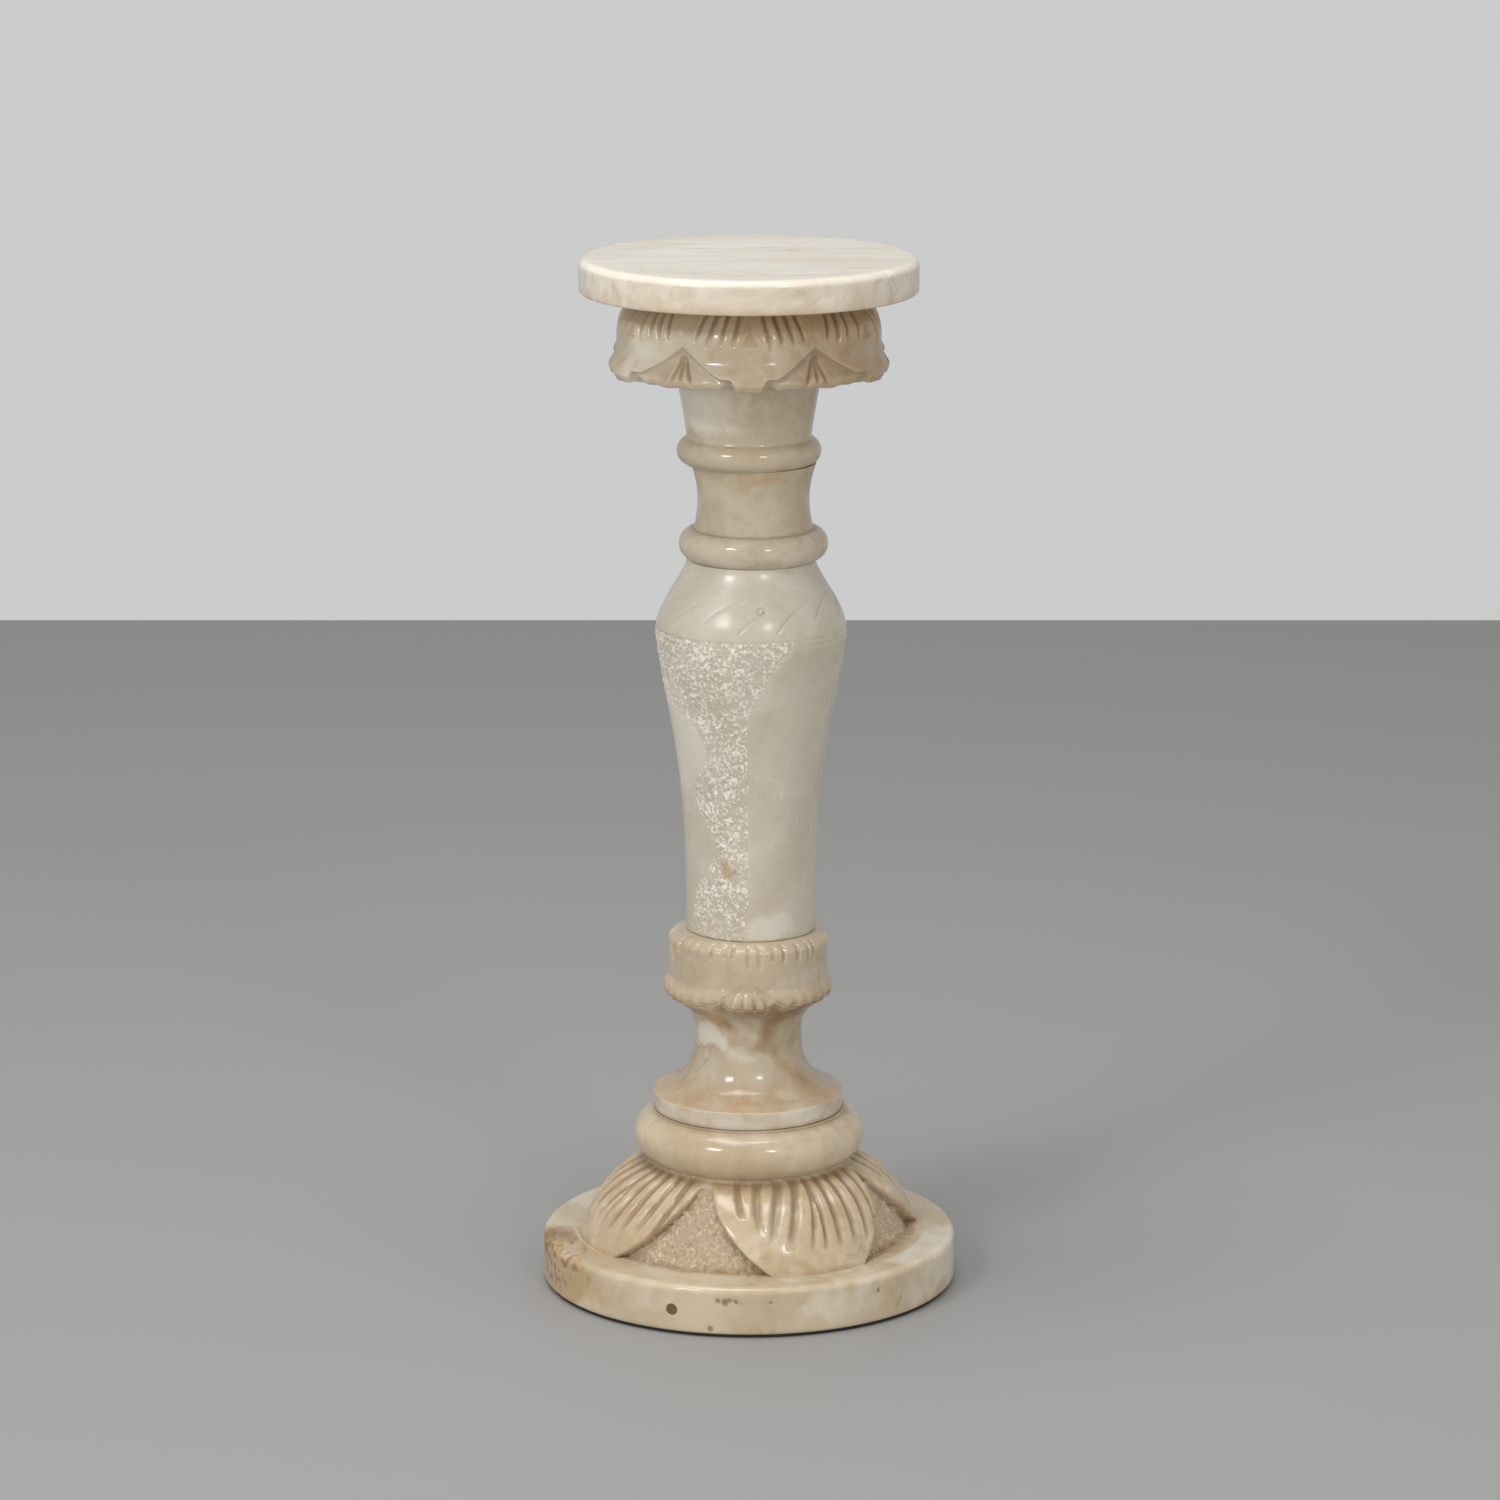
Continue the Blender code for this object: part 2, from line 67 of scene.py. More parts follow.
def add(tree, kind, wires=None, **settings):
    """One node with its settings and its wires."""
    made = tree.nodes.new(kind)
    for name, value in settings.items():
        setattr(made, name, value)
    feed(tree, made, wires or {})
    return made


def new_material(name):
    """A material, its tree of nodes and its shader."""
    material = bpy.data.materials.new(name)
    material.use_nodes = True
    return material, material.node_tree, material.node_tree.nodes["Principled BSDF"]


def blend(tree, part, first, second):
    """Mixes two colours, which are inputs 6 and 7 of the mix node."""
    return add(tree, "ShaderNodeMix", {"Factor": part, 6: first, 7: second}, data_type="RGBA").outputs[2]


def reckon(tree, sort, first, second=0.0):
    return add(tree, "ShaderNodeMath", {0: first, 1: second}, operation=sort).outputs[0]


def span(tree, value, low, high):
    """0 below low, 1 above high, with a soft step between."""
    made = add(tree, "ShaderNodeMapRange", {"Value": value, "From Min": low, "From Max": high},
               interpolation_type="SMOOTHSTEP")
    return made.outputs["Result"]


def cloud(tree, where, scale, detail=4.0, warp=0.0, rough=0.55):
    made = add(tree, "ShaderNodeTexNoise", {"Vector": where, "Scale": scale, "Detail": detail,
                                            "Roughness": rough, "Distortion": warp})
    return made.outputs["Fac"]


def new_group(name, takes, gives):
    group = bpy.data.node_groups.new(name, "ShaderNodeTree")
    for title, kind in takes:
        group.interface.new_socket(title, in_out="INPUT", socket_type=kind)
    for title, kind in gives:
        group.interface.new_socket(title, in_out="OUTPUT", socket_type=kind)
    return group, group.nodes.new("NodeGroupInput").outputs, group.nodes.new("NodeGroupOutput").inputs


COLOUR, NUMBER, PLACE = "NodeSocketColor", "NodeSocketFloat", "NodeSocketVector"
print("helpers for nodes, mixes, sums, soft steps, noise and groups")

# %% [markdown]
# The camera stands where the photographer stood: 1.26 m above the floor and 3.85 m in front of the
# column, looking down by 13 degrees. A long lens keeps the sides of the column nearly parallel.

# %% Camera
CAMERA_PITCH = 12.98
lens_data = bpy.data.cameras.new("camera")
lens_data.sensor_width = 36.0
lens_data.lens = 141.46
camera = bpy.data.objects.new("camera", lens_data)
camera.location = (0.00065, -3.8522, 1.2554)
camera.rotation_euler = (radians(90.0 - CAMERA_PITCH), 0.0, 0.0)
bpy.context.scene.collection.objects.link(camera)
bpy.context.scene.camera = camera
bpy.context.scene.view_settings.view_transform = "Standard"
print("camera looks down", CAMERA_PITCH, "degrees")

# %% [markdown]
# Polished stone needs something to mirror. One small, flat soft box on the upper left gives the
# bright streaks on rings and edges, a weaker one on the right gives the second ones. Two large low
# screens light the parts under the leaves, which a high light leaves dark. The stone doesn't mirror
# them, because a photographer's room shows no such wide windows in the polish. A pale room all
# round fills the shadows. It is the world's colour, and the camera sees it as the wall.

# %% Room and lights
def soft_box(name, place, aim, width, height, power, mirrored=True):
    light = bpy.data.lights.new(name, "AREA")
    light.shape = "RECTANGLE"
    light.size, light.size_y = width, height
    light.energy = power
    lamp = bpy.data.objects.new(name, light)
    lamp.visible_camera = False
    lamp.visible_glossy = mirrored
    lamp.location = place
    lamp.rotation_euler = (Vector(aim) - Vector(place)).to_track_quat("-Z", "Y").to_euler()
    bpy.context.scene.collection.objects.link(lamp)
    return lamp


soft_box("key_light", (-1.75, -2.10, 2.35), (0.0, 0.0, 0.35), 0.70, 0.42, 25.0)
soft_box("side_light", (1.10, -2.45, 2.10), (0.0, 0.0, 0.35), 0.42, 0.26, 9.0)
soft_box("left_screen", (-2.30, -2.90, 0.95), (0.0, 0.0, 0.45), 2.80, 1.80, 47.0, mirrored=False)
soft_box("right_screen", (2.60, -2.20, 0.50), (0.0, 0.0, 0.20), 2.00, 1.10, 26.0, mirrored=False)
soft_box("ceiling", (-0.30, -0.20, 3.10), (0.0, 0.0, 0.0), 1.60, 1.60, 45.0)

room = bpy.data.worlds.new("room")
bpy.context.scene.world = room
room.use_nodes = True
sky = room.node_tree
sky.nodes.clear()
seen = add(sky, "ShaderNodeBackground", {"Color": (0.600, 0.602, 0.605, 1.0)})
lit = add(sky, "ShaderNodeBackground", {"Color": (0.97, 0.985, 1.0, 1.0), "Strength": 0.45})
ray = add(sky, "ShaderNodeLightPath")
choose = add(sky, "ShaderNodeMixShader", {
    "Fac": ray.outputs["Is Camera Ray"], 1: lit.outputs["Background"], 2: seen.outputs["Background"]})
add(sky, "ShaderNodeOutputWorld", {"Surface": choose.outputs["Shader"]})
print("room and lights ready")

# %% [markdown]
# The floor is one eight-sided plate. Seen from any of its sides, the far edge is the straight line
# between floor and wall, at the same height in the picture.

# %% Floor
FLOOR_REACH, HALF_SIDE = 2.2, pi / 8


def off_bench(bench, name):
    """Takes a finished form off the bench and puts it in the scene."""
    mesh = bpy.data.meshes.new(name)
    bench.to_mesh(mesh)
    bench.free()
    piece = bpy.data.objects.new(name, mesh)
    bpy.context.scene.collection.objects.link(piece)
    return piece


bench = bmesh.new()
bmesh.ops.create_circle(bench, cap_ends=True, segments=8, radius=FLOOR_REACH / cos(HALF_SIDE),
                        matrix=Matrix.Rotation(HALF_SIDE, 4, "Z"))
floor = off_bench(bench, "floor")
floor_paint, tree, shader = new_material("floor_paint")
feed(tree, shader, {"Base Color": (0.320, 0.315, 0.307, 1.0), "Roughness": 0.6})
floor.data.materials.append(floor_paint)
print("floor reaches", FLOOR_REACH, "m to each side")

# %% [markdown]
# A lathe turns a profile round an axis. In Blender the same is done by spinning a line of points.
# The helpers below make profiles: `arc` for a rounded member, `sweep` for a curve between two
# points whose bend is a small function, and `even` to lay extra points along a coarse line.

# %% Profiles
def between(start, end, part):
    return start + (end - start) * part


def arc(middle, reach, start, end, steps):
    """Points along an ellipse; angles in degrees, 0 straight out and 90 straight up."""
    turns = [radians(between(start, end, step / steps)) for step in range(steps + 1)]
    return [(middle[0] + reach[0] * cos(turn), middle[1] + reach[1] * sin(turn)) for turn in turns]


def sweep(start, end, bend, steps):
    """Points from start to end; bend gives the share of the radius change."""
    parts = [step / steps for step in range(steps + 1)]
    return [(between(start[0], end[0], bend(part)), between(start[1], end[1], part)) for part in parts]


def even(outline, spacing):
    """The same outline with its long stretches cut into steps of about one spacing."""
    laid = [outline[0]]
    for start, end in zip(outline, outline[1:]):
        length = (Vector(end) - Vector(start)).length
        if length < 1e-7:
            continue
        steps = max(1, round(length / spacing))
        laid += [(between(start[0], end[0], step / steps), between(start[1], end[1], step / steps))
                 for step in range(1, steps + 1)]
    return laid


print("a quarter round:", [tuple(round(value, 3) for value in point)
                           for point in arc((0, 0), (1, 1), 90, 0, 2)])

# %% [markdown]
# `turned` spins a profile through a sixteenth of a circle and then doubles that slice four times,
# which is much quicker than spinning all the way. `Skin` then holds the mesh as a carver sees it:
# for every point the turn round the axis in degrees (0 at the front, 90 at the right), the radius
# and the height. Cutting is a change of the radius, and `put_back` writes it to the mesh.

# %% The lathe
DOUBLINGS = 4
EDGE_ANGLE = radians(50.0)


def turned(name, outline, columns):
    """A piece turned from an outline of (radius, height) points."""
    slice_turn, slice_columns = tau / 2 ** DOUBLINGS, columns // 2 ** DOUBLINGS
    bench = bmesh.new()
    line = [bench.verts.new((radius, 0.0, height)) for radius, height in outline]
    edges = [bench.edges.new(pair) for pair in zip(line, line[1:])]
    bmesh.ops.spin(bench, geom=line + edges, cent=(0, 0, 0), axis=(0, 0, 1), angle=slice_turn,
                   steps=slice_columns)
    for _ in range(DOUBLINGS):
        copied = bmesh.ops.duplicate(bench, geom=bench.verts[:] + bench.edges[:] + bench.faces[:])["geom"]
        bmesh.ops.rotate(bench, cent=(0, 0, 0), matrix=Matrix.Rotation(slice_turn, 3, "Z"),
                         verts=[item for item in copied if isinstance(item, bmesh.types.BMVert)])
        slice_turn *= 2.0
    bmesh.ops.remove_doubles(bench, verts=bench.verts, dist=1e-6)
    bmesh.ops.recalc_face_normals(bench, faces=bench.faces)
    piece = off_bench(bench, name)
    piece.data.shade_smooth()
    print(f"{name}: turned with {columns} columns, {2 * len(piece.data.polygons)} triangles at most")
    return piece


class Skin:
    def __init__(self, piece):
        self.piece = piece
        places = np.empty(3 * len(piece.data.vertices))
        piece.data.vertices.foreach_get("co", places)
        across, deep, self.height = places.reshape(-1, 3).T.copy()
        self.turn = np.degrees(np.arctan2(across, -deep))
        self.radius = np.hypot(across, deep)

    def places(self):
        turn = np.radians(self.turn)
        return np.stack((self.radius * np.sin(turn), -self.radius * np.cos(turn), self.height), 1)

    def put_back(self):
        self.piece.data.vertices.foreach_set("co", self.places().ravel())
        self.piece.data.update()

    def mark(self, **amounts):
        """Keeps named values from 0 to 1 for every point, for the finish to read."""
        for name, amount in amounts.items():
            layer = self.piece.data.attributes.new(name, "FLOAT", "POINT")
            values = np.clip(amount + np.zeros_like(self.height), 0.0, 1.0)
            layer.data.foreach_set("value", values.astype(np.float32))


print("the lathe spins one slice in", 2 ** DOUBLINGS, "and doubles it", DOUBLINGS, "times")


# %% [markdown]
# A gouge cut is deepest along its middle and runs out at its end. `flute` gives the depth of such a
# cut for every point: its middle line bends from one turn at the top to another at its end.
# `near` measures how far a point lies from a given turn, in either direction round the column.
# Wear and stains, and some patches of painted light, are laid on with `spot`, which is round, and
# `blot`, which has a ragged outline.

# %% The carver's tools
def soft(value, start, end):
    """0 at start, 1 at end, with a gentle run in and out."""
    part = share((value - start) / (end - start))
    return part * part * (3.0 - 2.0 * part)


def share(value):
    return np.clip(value, 0.0, 1.0)


def groove(away, half_width):
    """1 in the middle of a round-bottomed groove, 0 at its edges."""
    return share(1.0 - (away / half_width) ** 2)


def near(turn, middle):
    return (turn - middle + 180.0) % 360.0 - 180.0


def aside(skin, turn):
    """How far each point lies to the right of a turn, along the skin."""
    return np.radians(near(skin.turn, turn)) * skin.radius


def flute(skin, turns, top, end, width, depth, narrowing=0.30):
    """Depth of a gouge cut that runs down from top to end through three turns."""
    part = share((top - skin.height) / (top - end))
    first, middle, last = turns
    line = (1 - part) ** 2 * first + 2 * part * (1 - part) * middle + part ** 2 * last
    side = aside(skin, line) / (0.5 * width * (1.0 - narrowing * part))
    cut = share(1.0 - side ** 2) ** 1.25
    inside = (skin.height <= top + 0.001) & (skin.height >= end)
    return depth * cut * inside * (1.0 - part ** 6)


def grains(places, size, shift=(0.0, 0.0, 0.0)):
    """Even noise from -1 to 1 at the places, with grains of about the given size."""
    return np.array([noise.noise(Vector(place) / size + Vector(shift)) for place in places])


def speckle(skin, size, seed):
    return grains(skin.places(), size, (seed * 7.3, seed * 3.1, seed * 5.7))


def spot(skin, turn, height, size, stretch=1.0):
    """1 in the middle of a round spot, 0 at its edge; a stretch of hundreds takes it all round."""
    side = aside(skin, turn) / stretch
    return 1.0 - soft(np.hypot(side, skin.height - height), 0.3 * size, size)


def blot(skin, turn, height, size, stretch=1.0, seed=0):
    """1 in the middle of a ragged patch, used for stains and for painted light; 0 outside; stretch makes
    it wider.
    """
    side = aside(skin, turn) / stretch
    away = np.hypot(side, skin.height - height)
    return 1.0 - soft(away + 0.45 * size * speckle(skin, 0.7 * size, seed + 20), 0.1 * size, size)


def blots(skin, *stains):
    """Several ragged patches added up, each as its strength and then what blot takes."""
    return sum(strength * blot(skin, *stain) for strength, *stain in stains)


def foot_line(skin, reach=0.0018):
    """1 at the very foot of a piece, where dirt creeps into the joint."""
    return 1.0 - soft(skin.height, 0.0, reach)


def place_piece(piece, finish, node):
    """Gives a piece its finish and stands it where its solid stands."""
    piece.data.materials.append(finish)
    low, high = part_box(node)
    piece.data.transform(Matrix.Translation((0.5 * (low.x + high.x), 0.0, low.z)))
    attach(piece, "root")
    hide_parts(node)
    print(f"{piece.name}: from {low.z:.4f} to {high.z:.4f}, {0.5 * (low.x + high.x):+.4f} off the axis")


print("a soft step at a quarter of its way:", soft(0.25, 0.0, 1.0))

# %% [markdown]
# Alabaster is a soft, waxy stone: pale clouds drift in a warmer ground, and thin veins cross it.
# The clouds are one node group, so every piece can have its own tones. They come from soft noise
# at three sizes. A vein is the thin line where another noise crosses its middle value, kept only
# in some places, so that veins come and go.

# %% Clouds and veins of the stone
clouds, given, result = new_group(
    "stone_clouds",
    [("Where", PLACE), ("Ground", COLOUR), ("Deep", COLOUR), ("Milk", COLOUR), ("Vein", COLOUR),
     ("Milk Amount", NUMBER), ("Vein Amount", NUMBER)],
    [("Color", COLOUR)])
drift = span(clouds, cloud(clouds, given["Where"], 17.0, 5.0, 0.6), 0.36, 0.66)
tone = blend(clouds, drift, given["Ground"], given["Deep"])
milky = span(clouds, cloud(clouds, given["Where"], 11.0, 3.0, 1.2), 0.52, 0.70)
tone = blend(clouds, reckon(clouds, "MULTIPLY", milky, given["Milk Amount"]), tone, given["Milk"])
crossing = reckon(clouds, "SUBTRACT", cloud(clouds, given["Where"], 8.0, 6.0, 1.6), 0.5)
ridge = reckon(clouds, "ABSOLUTE", crossing)
thread = reckon(clouds, "MULTIPLY", span(clouds, ridge, 0.018, 0.0),
                span(clouds, cloud(clouds, given["Where"], 13.0, 2.0), 0.45, 0.62))
tone = blend(clouds, reckon(clouds, "MULTIPLY", thread, given["Vein Amount"]), tone, given["Vein"])
mottle = span(clouds, cloud(clouds, given["Where"], 160.0, 3.0), 0.30, 0.70)
tone = blend(clouds, reckon(clouds, "MULTIPLY", mottle, 0.10), tone, given["Milk"])
clouds.links.new(tone, result["Color"])
print("group", clouds.name)

# %% [markdown]
# Years of handling leave brown dirt in every cut, rusty and tan stains, and a whitish bloom where
# the point chisel left the stone rough. The carving marks those places on each mesh as it cuts, and
# this group turns the marks into colour, roughness and a fine height for the bump. The same marks
# also carry painted light: the brown also paints shade in some grooves, under a lip and on shaded
# sides, the tan also paints shade and a warm glow, and the milky white also paints light on some sides.

# %% Age, dirt, tool marks and painted light
age, given, result = new_group(
    "stone_age",
    [("Where", PLACE), ("Color", COLOUR), ("Dirt And Shade", COLOUR), ("Rust Shade And Glow", COLOUR), ("Bloom", COLOUR),
     ("Milk", COLOUR), ("Hollows", NUMBER), ("Polish", NUMBER)],
    [("Color", COLOUR), ("Roughness", NUMBER), ("Height", NUMBER)])
smear = cloud(age, given["Where"], 85.0, 5.0, 0.4)
grain = cloud(age, given["Where"], 430.0, 3.0, 0.6, 0.68)
loose = reckon(age, "SUBTRACT", smear, 0.5)


def masked(mark_name, low, high, spread):
    mark = add(age, "ShaderNodeAttribute", attribute_name=mark_name).outputs["Fac"]
    reach = reckon(age, "MULTIPLY", loose, spread)
    present = span(age, mark, 0.0, 0.12)
    return reckon(age, "MULTIPLY", span(age, reckon(age, "ADD", mark, reach), low, high), present)


# The dirt mark holds real dirt and some painted shade, the rust mark stains, painted shade and a painted
# glow, the milky mark pale stone and some painted light.
dirty = masked("dirt", 0.10, 1.00, 0.9)
rusty = masked("rust", 0.10, 1.00, 1.0)
pecked = masked("pecked", 0.30, 0.62, 0.5)
milky = masked("milky", 0.10, 1.00, 1.3)
tone = blend(age, reckon(age, "MULTIPLY", milky, 0.68), given["Color"], given["Milk"])
crumb = span(age, reckon(age, "ADD", grain, reckon(age, "MULTIPLY", loose, 0.35)), 0.44, 0.60)
hollow = blend(age, given["Hollows"], tone, given["Dirt And Shade"])
tone = blend(age, pecked, tone, blend(age, crumb, hollow, given["Bloom"]))
tone = blend(age, reckon(age, "MULTIPLY", rusty, 0.85), tone, given["Rust Shade And Glow"])
tone = blend(age, reckon(age, "MULTIPLY", dirty, 0.80), tone, given["Dirt And Shade"])
age.links.new(tone, result["Color"])
dull = reckon(age, "ADD", given["Polish"], reckon(age, "MULTIPLY", span(age, smear, 0.35, 0.75), 0.09))
dull = reckon(age, "ADD", dull, reckon(age, "MULTIPLY", pecked, 0.45))
dull = reckon(age, "ADD", dull, reckon(age, "MULTIPLY", dirty, 0.20))
age.links.new(dull, result["Roughness"])
tooth = reckon(age, "MULTIPLY", reckon(age, "MULTIPLY", crumb, pecked), 0.45)
sway = reckon(age, "MULTIPLY", cloud(age, given["Where"], 38.0, 2.0), 0.16)
age.links.new(reckon(age, "ADD", tooth, sway), result["Height"])
print("group", age.name)

# %% [markdown]
# The blocks do not match: the plate is nearly white, the body greyish, base, stem and capital are
# honey coloured. All five finishes are one recipe with other tones. Light goes a few millimetres
# into the stone, red further than blue, which is what makes its edges and shadows look warm.

# %% Finished stone
# The brown is the colour of dirt and also of painted shade; the tan is that of stains and also of painted
# shade and a painted glow.
DIRT_AND_SHADE, RUST_SHADE_AND_GLOW = (0.235, 0.150, 0.078, 1.0), (0.47, 0.315, 0.160, 1.0)
# how polished alabaster takes light: it bends it, and lets it in a few millimetres
WAXY = {"IOR": 1.53, "Subsurface Weight": 0.45, "Subsurface Radius": (1.0, 0.72, 0.42),
        "Subsurface Scale": 0.0045}


def polished_stone(name, ground, deep, milk, vein, bloom, hollows, milk_amount, vein_amount, polish,
                   stretch=(1.0, 1.0, 1.0)):
    """A stone's clouds under its age, on a waxy shader that lets light a little way in."""
    material, tree, shader = new_material(name)
    where = add(tree, "ShaderNodeTexCoord").outputs["Object"]
    where = add(tree, "ShaderNodeMapping", {"Vector": where, "Scale": stretch}).outputs["Vector"]
    stone = add(tree, "ShaderNodeGroup", {
        "Where": where, "Ground": (*ground, 1.0), "Deep": (*deep, 1.0), "Milk": (*milk, 1.0),
        "Vein": (*vein, 1.0), "Milk Amount": milk_amount, "Vein Amount": vein_amount}, node_tree=clouds)
    worn = add(tree, "ShaderNodeGroup", {
        "Where": where, "Color": stone.outputs["Color"], "Dirt And Shade": DIRT_AND_SHADE, "Rust Shade And Glow": RUST_SHADE_AND_GLOW,
        "Bloom": (*bloom, 1.0), "Milk": (*milk, 1.0), "Hollows": hollows, "Polish": polish},
        node_tree=age)
    bump = add(tree, "ShaderNodeBump", {"Height": worn.outputs["Height"], "Distance": 0.001,
                                        "Strength": 0.8})
    feed(tree, shader, {"Base Color": worn.outputs["Color"], "Roughness": worn.outputs["Roughness"],
                        "Normal": bump.outputs["Normal"], **WAXY})
    return material


base_finish = polished_stone(
    "base_finish", ground=(0.585, 0.485, 0.34), deep=(0.485, 0.38, 0.24), milk=(0.70, 0.635, 0.525),
    vein=(0.36, 0.24, 0.13), bloom=(0.61, 0.49, 0.335), hollows=0.42, milk_amount=0.55, vein_amount=0.35,
    polish=0.12)
stem_finish = polished_stone(
    "stem_finish", ground=(0.52, 0.43, 0.31), deep=(0.43, 0.335, 0.22), milk=(0.72, 0.665, 0.57),
    vein=(0.32, 0.21, 0.12), bloom=(0.64, 0.52, 0.37), hollows=0.42, milk_amount=0.45, vein_amount=0.40,
    polish=0.12)
body_finish = polished_stone(
    "body_finish", ground=(0.55, 0.497, 0.40), deep=(0.495, 0.437, 0.34), milk=(0.70, 0.66, 0.58),
    vein=(0.46, 0.36, 0.22), bloom=(0.80, 0.75, 0.645), hollows=0.08, milk_amount=0.28, vein_amount=0.20,
    polish=0.22)
capital_finish = polished_stone(
    "capital_finish", ground=(0.475, 0.39, 0.275), deep=(0.43, 0.345, 0.23), milk=(0.73, 0.675, 0.58),
    vein=(0.34, 0.24, 0.13), bloom=(0.60, 0.52, 0.40), hollows=0.10, milk_amount=0.20, vein_amount=0.15,
    polish=0.12)
plate_finish = polished_stone(
    "plate_finish", ground=(0.74, 0.685, 0.585), deep=(0.68, 0.60, 0.475), milk=(0.80, 0.775, 0.725),
    vein=(0.56, 0.45, 0.31), bloom=(0.80, 0.76, 0.67), hollows=0.10, milk_amount=0.80, vein_amount=0.75,
    polish=0.09, stretch=(0.45, 1.6, 1.0))
print("five finishes of the same stone")

# %% [markdown]
# The column stands on a thin near-black disc, which makes the black line under the stone. The
# disc is matt, with a rough finish and a fine, uneven height.

# %% Dark disc under the base
dark_disc_finish, tree, shader = new_material("dark_disc_finish")
where = add(tree, "ShaderNodeTexCoord").outputs["Object"]
fine_noise = cloud(tree, where, 900.0, 4.0)
noise_tone = blend(tree, fine_noise, (0.018, 0.016, 0.015, 1.0), (0.050, 0.046, 0.042, 1.0))
noise_bump = add(tree, "ShaderNodeBump", {"Height": fine_noise, "Distance": 0.0006})
feed(tree, shader, {"Base Color": noise_tone, "Normal": noise_bump.outputs["Normal"], "Roughness": 0.95})

DISC_RADIUS, DISC_THICKNESS, DISC_EDGE = 0.1375, 0.0020, 0.0004
outline = [(0.0, DISC_THICKNESS), (DISC_RADIUS - DISC_EDGE, DISC_THICKNESS),
           (DISC_RADIUS, DISC_THICKNESS - DISC_EDGE), (DISC_RADIUS, 0.0), (0.0, 0.0)]
felt = turned("dark_disc", outline, 192)
place_piece(felt, dark_disc_finish, "felt_pad")

# %% [markdown]
# The base is one block: a round plinth, a bell that swells out under four broad leaves, and a torus
# that carries the stem. First the whole outline is turned as if the bell were leaf all round. The
# outline has many points on the bell, because the carving needs them, and few where it stays plain.

# %% Base: the turned block
PLINTH_RADIUS, PLINTH_HEIGHT, PLINTH_EDGE = 0.1400, 0.0320, 0.0045
CREASE, TORUS_HEIGHT, TORUS_RADIUS, TORUS_TOP = 0.0820, 0.0360, 0.0782, 0.0656
BELL_TOP, BELL_TIP, BELL_FOOT, BELL_BULGE = 0.0725, 0.1165, 0.1070, 0.55


def leaf_line(steps):
    """Down a leaf's midrib: between a straight line and a quarter round."""
    points = []
    for step in range(steps + 1):
        part = step / steps
        out = between(part, sin(pi / 2 * part), BELL_BULGE)
        fall = between(part, 1.0 - cos(pi / 2 * part), BELL_BULGE)
        points.append((between(BELL_TOP, BELL_TIP, out), between(CREASE, PLINTH_HEIGHT, fall)))
    return points


torus_half = 0.5 * TORUS_HEIGHT
torus_reach = TORUS_RADIUS - TORUS_TOP + 0.5 * torus_half
torus = arc((TORUS_RADIUS - torus_reach, CREASE + torus_half), (torus_reach, torus_half), 66.0, -58.0, 20)
plinth = arc((PLINTH_RADIUS - PLINTH_EDGE, PLINTH_HEIGHT - PLINTH_EDGE), (PLINTH_EDGE, PLINTH_EDGE),
             90.0, 0.0, 7)
outline = [(0.0, CREASE + TORUS_HEIGHT), (TORUS_TOP, CREASE + TORUS_HEIGHT)] + torus + leaf_line(72)
outline += even([(BELL_TIP, PLINTH_HEIGHT), plinth[0]], 0.0012)[1:] + plinth[1:]
outline += even([plinth[-1], (PLINTH_RADIUS, 0.0012)], 0.0016)[1:]
outline += [(PLINTH_RADIUS - 0.0012, 0.0), (0.0, 0.0)]
base = turned("carved_base", outline, 656)

# %% [markdown]
# A hole in the plinth's side was stopped with dark filler. It is cut with a short round bit while
# the block is still plain, and the filler is a separate little plug that sits just inside it.

# %% Base: the stopped hole
HOLE_RADIUS, HOLE_DEPTH, HOLE_HEIGHT, HOLE_TURN = 0.0040, 0.0015, 0.0150, -21.5


def round_bit(name, radius, length, reach, bevel=0.0):
    """A short round bar that lies along the hole, its middle at reach from the axis."""
    bench = bmesh.new()
    bmesh.ops.create_cone(bench, cap_ends=True, segments=40, radius1=radius, radius2=radius, depth=length)
    if bevel:
        rims = [edge for edge in bench.edges
                if len(edge.link_faces) == 2 and edge.calc_face_angle() > 1.0]
        bmesh.ops.bevel(bench, geom=rims, offset=bevel, affect="EDGES", segments=3, profile=0.5,
                        material=-1)
    turn = Matrix.Rotation(radians(HOLE_TURN), 4, "Z")
    lay = Matrix.Rotation(radians(90.0), 4, "X")
    bmesh.ops.transform(bench, verts=bench.verts,
                        matrix=turn @ Matrix.Translation((0.0, -reach, HOLE_HEIGHT)) @ lay)
    return off_bench(bench, name)


bit = round_bit("bit", HOLE_RADIUS, 2.0 * HOLE_DEPTH, PLINTH_RADIUS)
drill = base.modifiers.new("hole", "BOOLEAN")
drill.operation = "DIFFERENCE"
drill.object = bit
drilled = bpy.data.meshes.new_from_object(base.evaluated_get(bpy.context.evaluated_depsgraph_get()))
base.modifiers.clear()
base.data = drilled
bpy.data.objects.remove(bit)
print("hole drilled,", len(drilled.polygons), "faces")

# %% [markdown]
# Now the carving. Between the leaves the ground is sunk to a plain cone and left rough from the
# point chisel. Each leaf keeps its full height at the midrib, rolls over at its rim, and gets ten
# flutes. The flutes are hand cut, so they lean and bend, and no two leaves are quite alike.

# %% Base: leaves, flutes and rough ground
LEAF_MIDDLES, HALF_LEAF, BELL_SLOPE = (25.0, 113.5, 202.5, 291.0), 45.0, 35.0
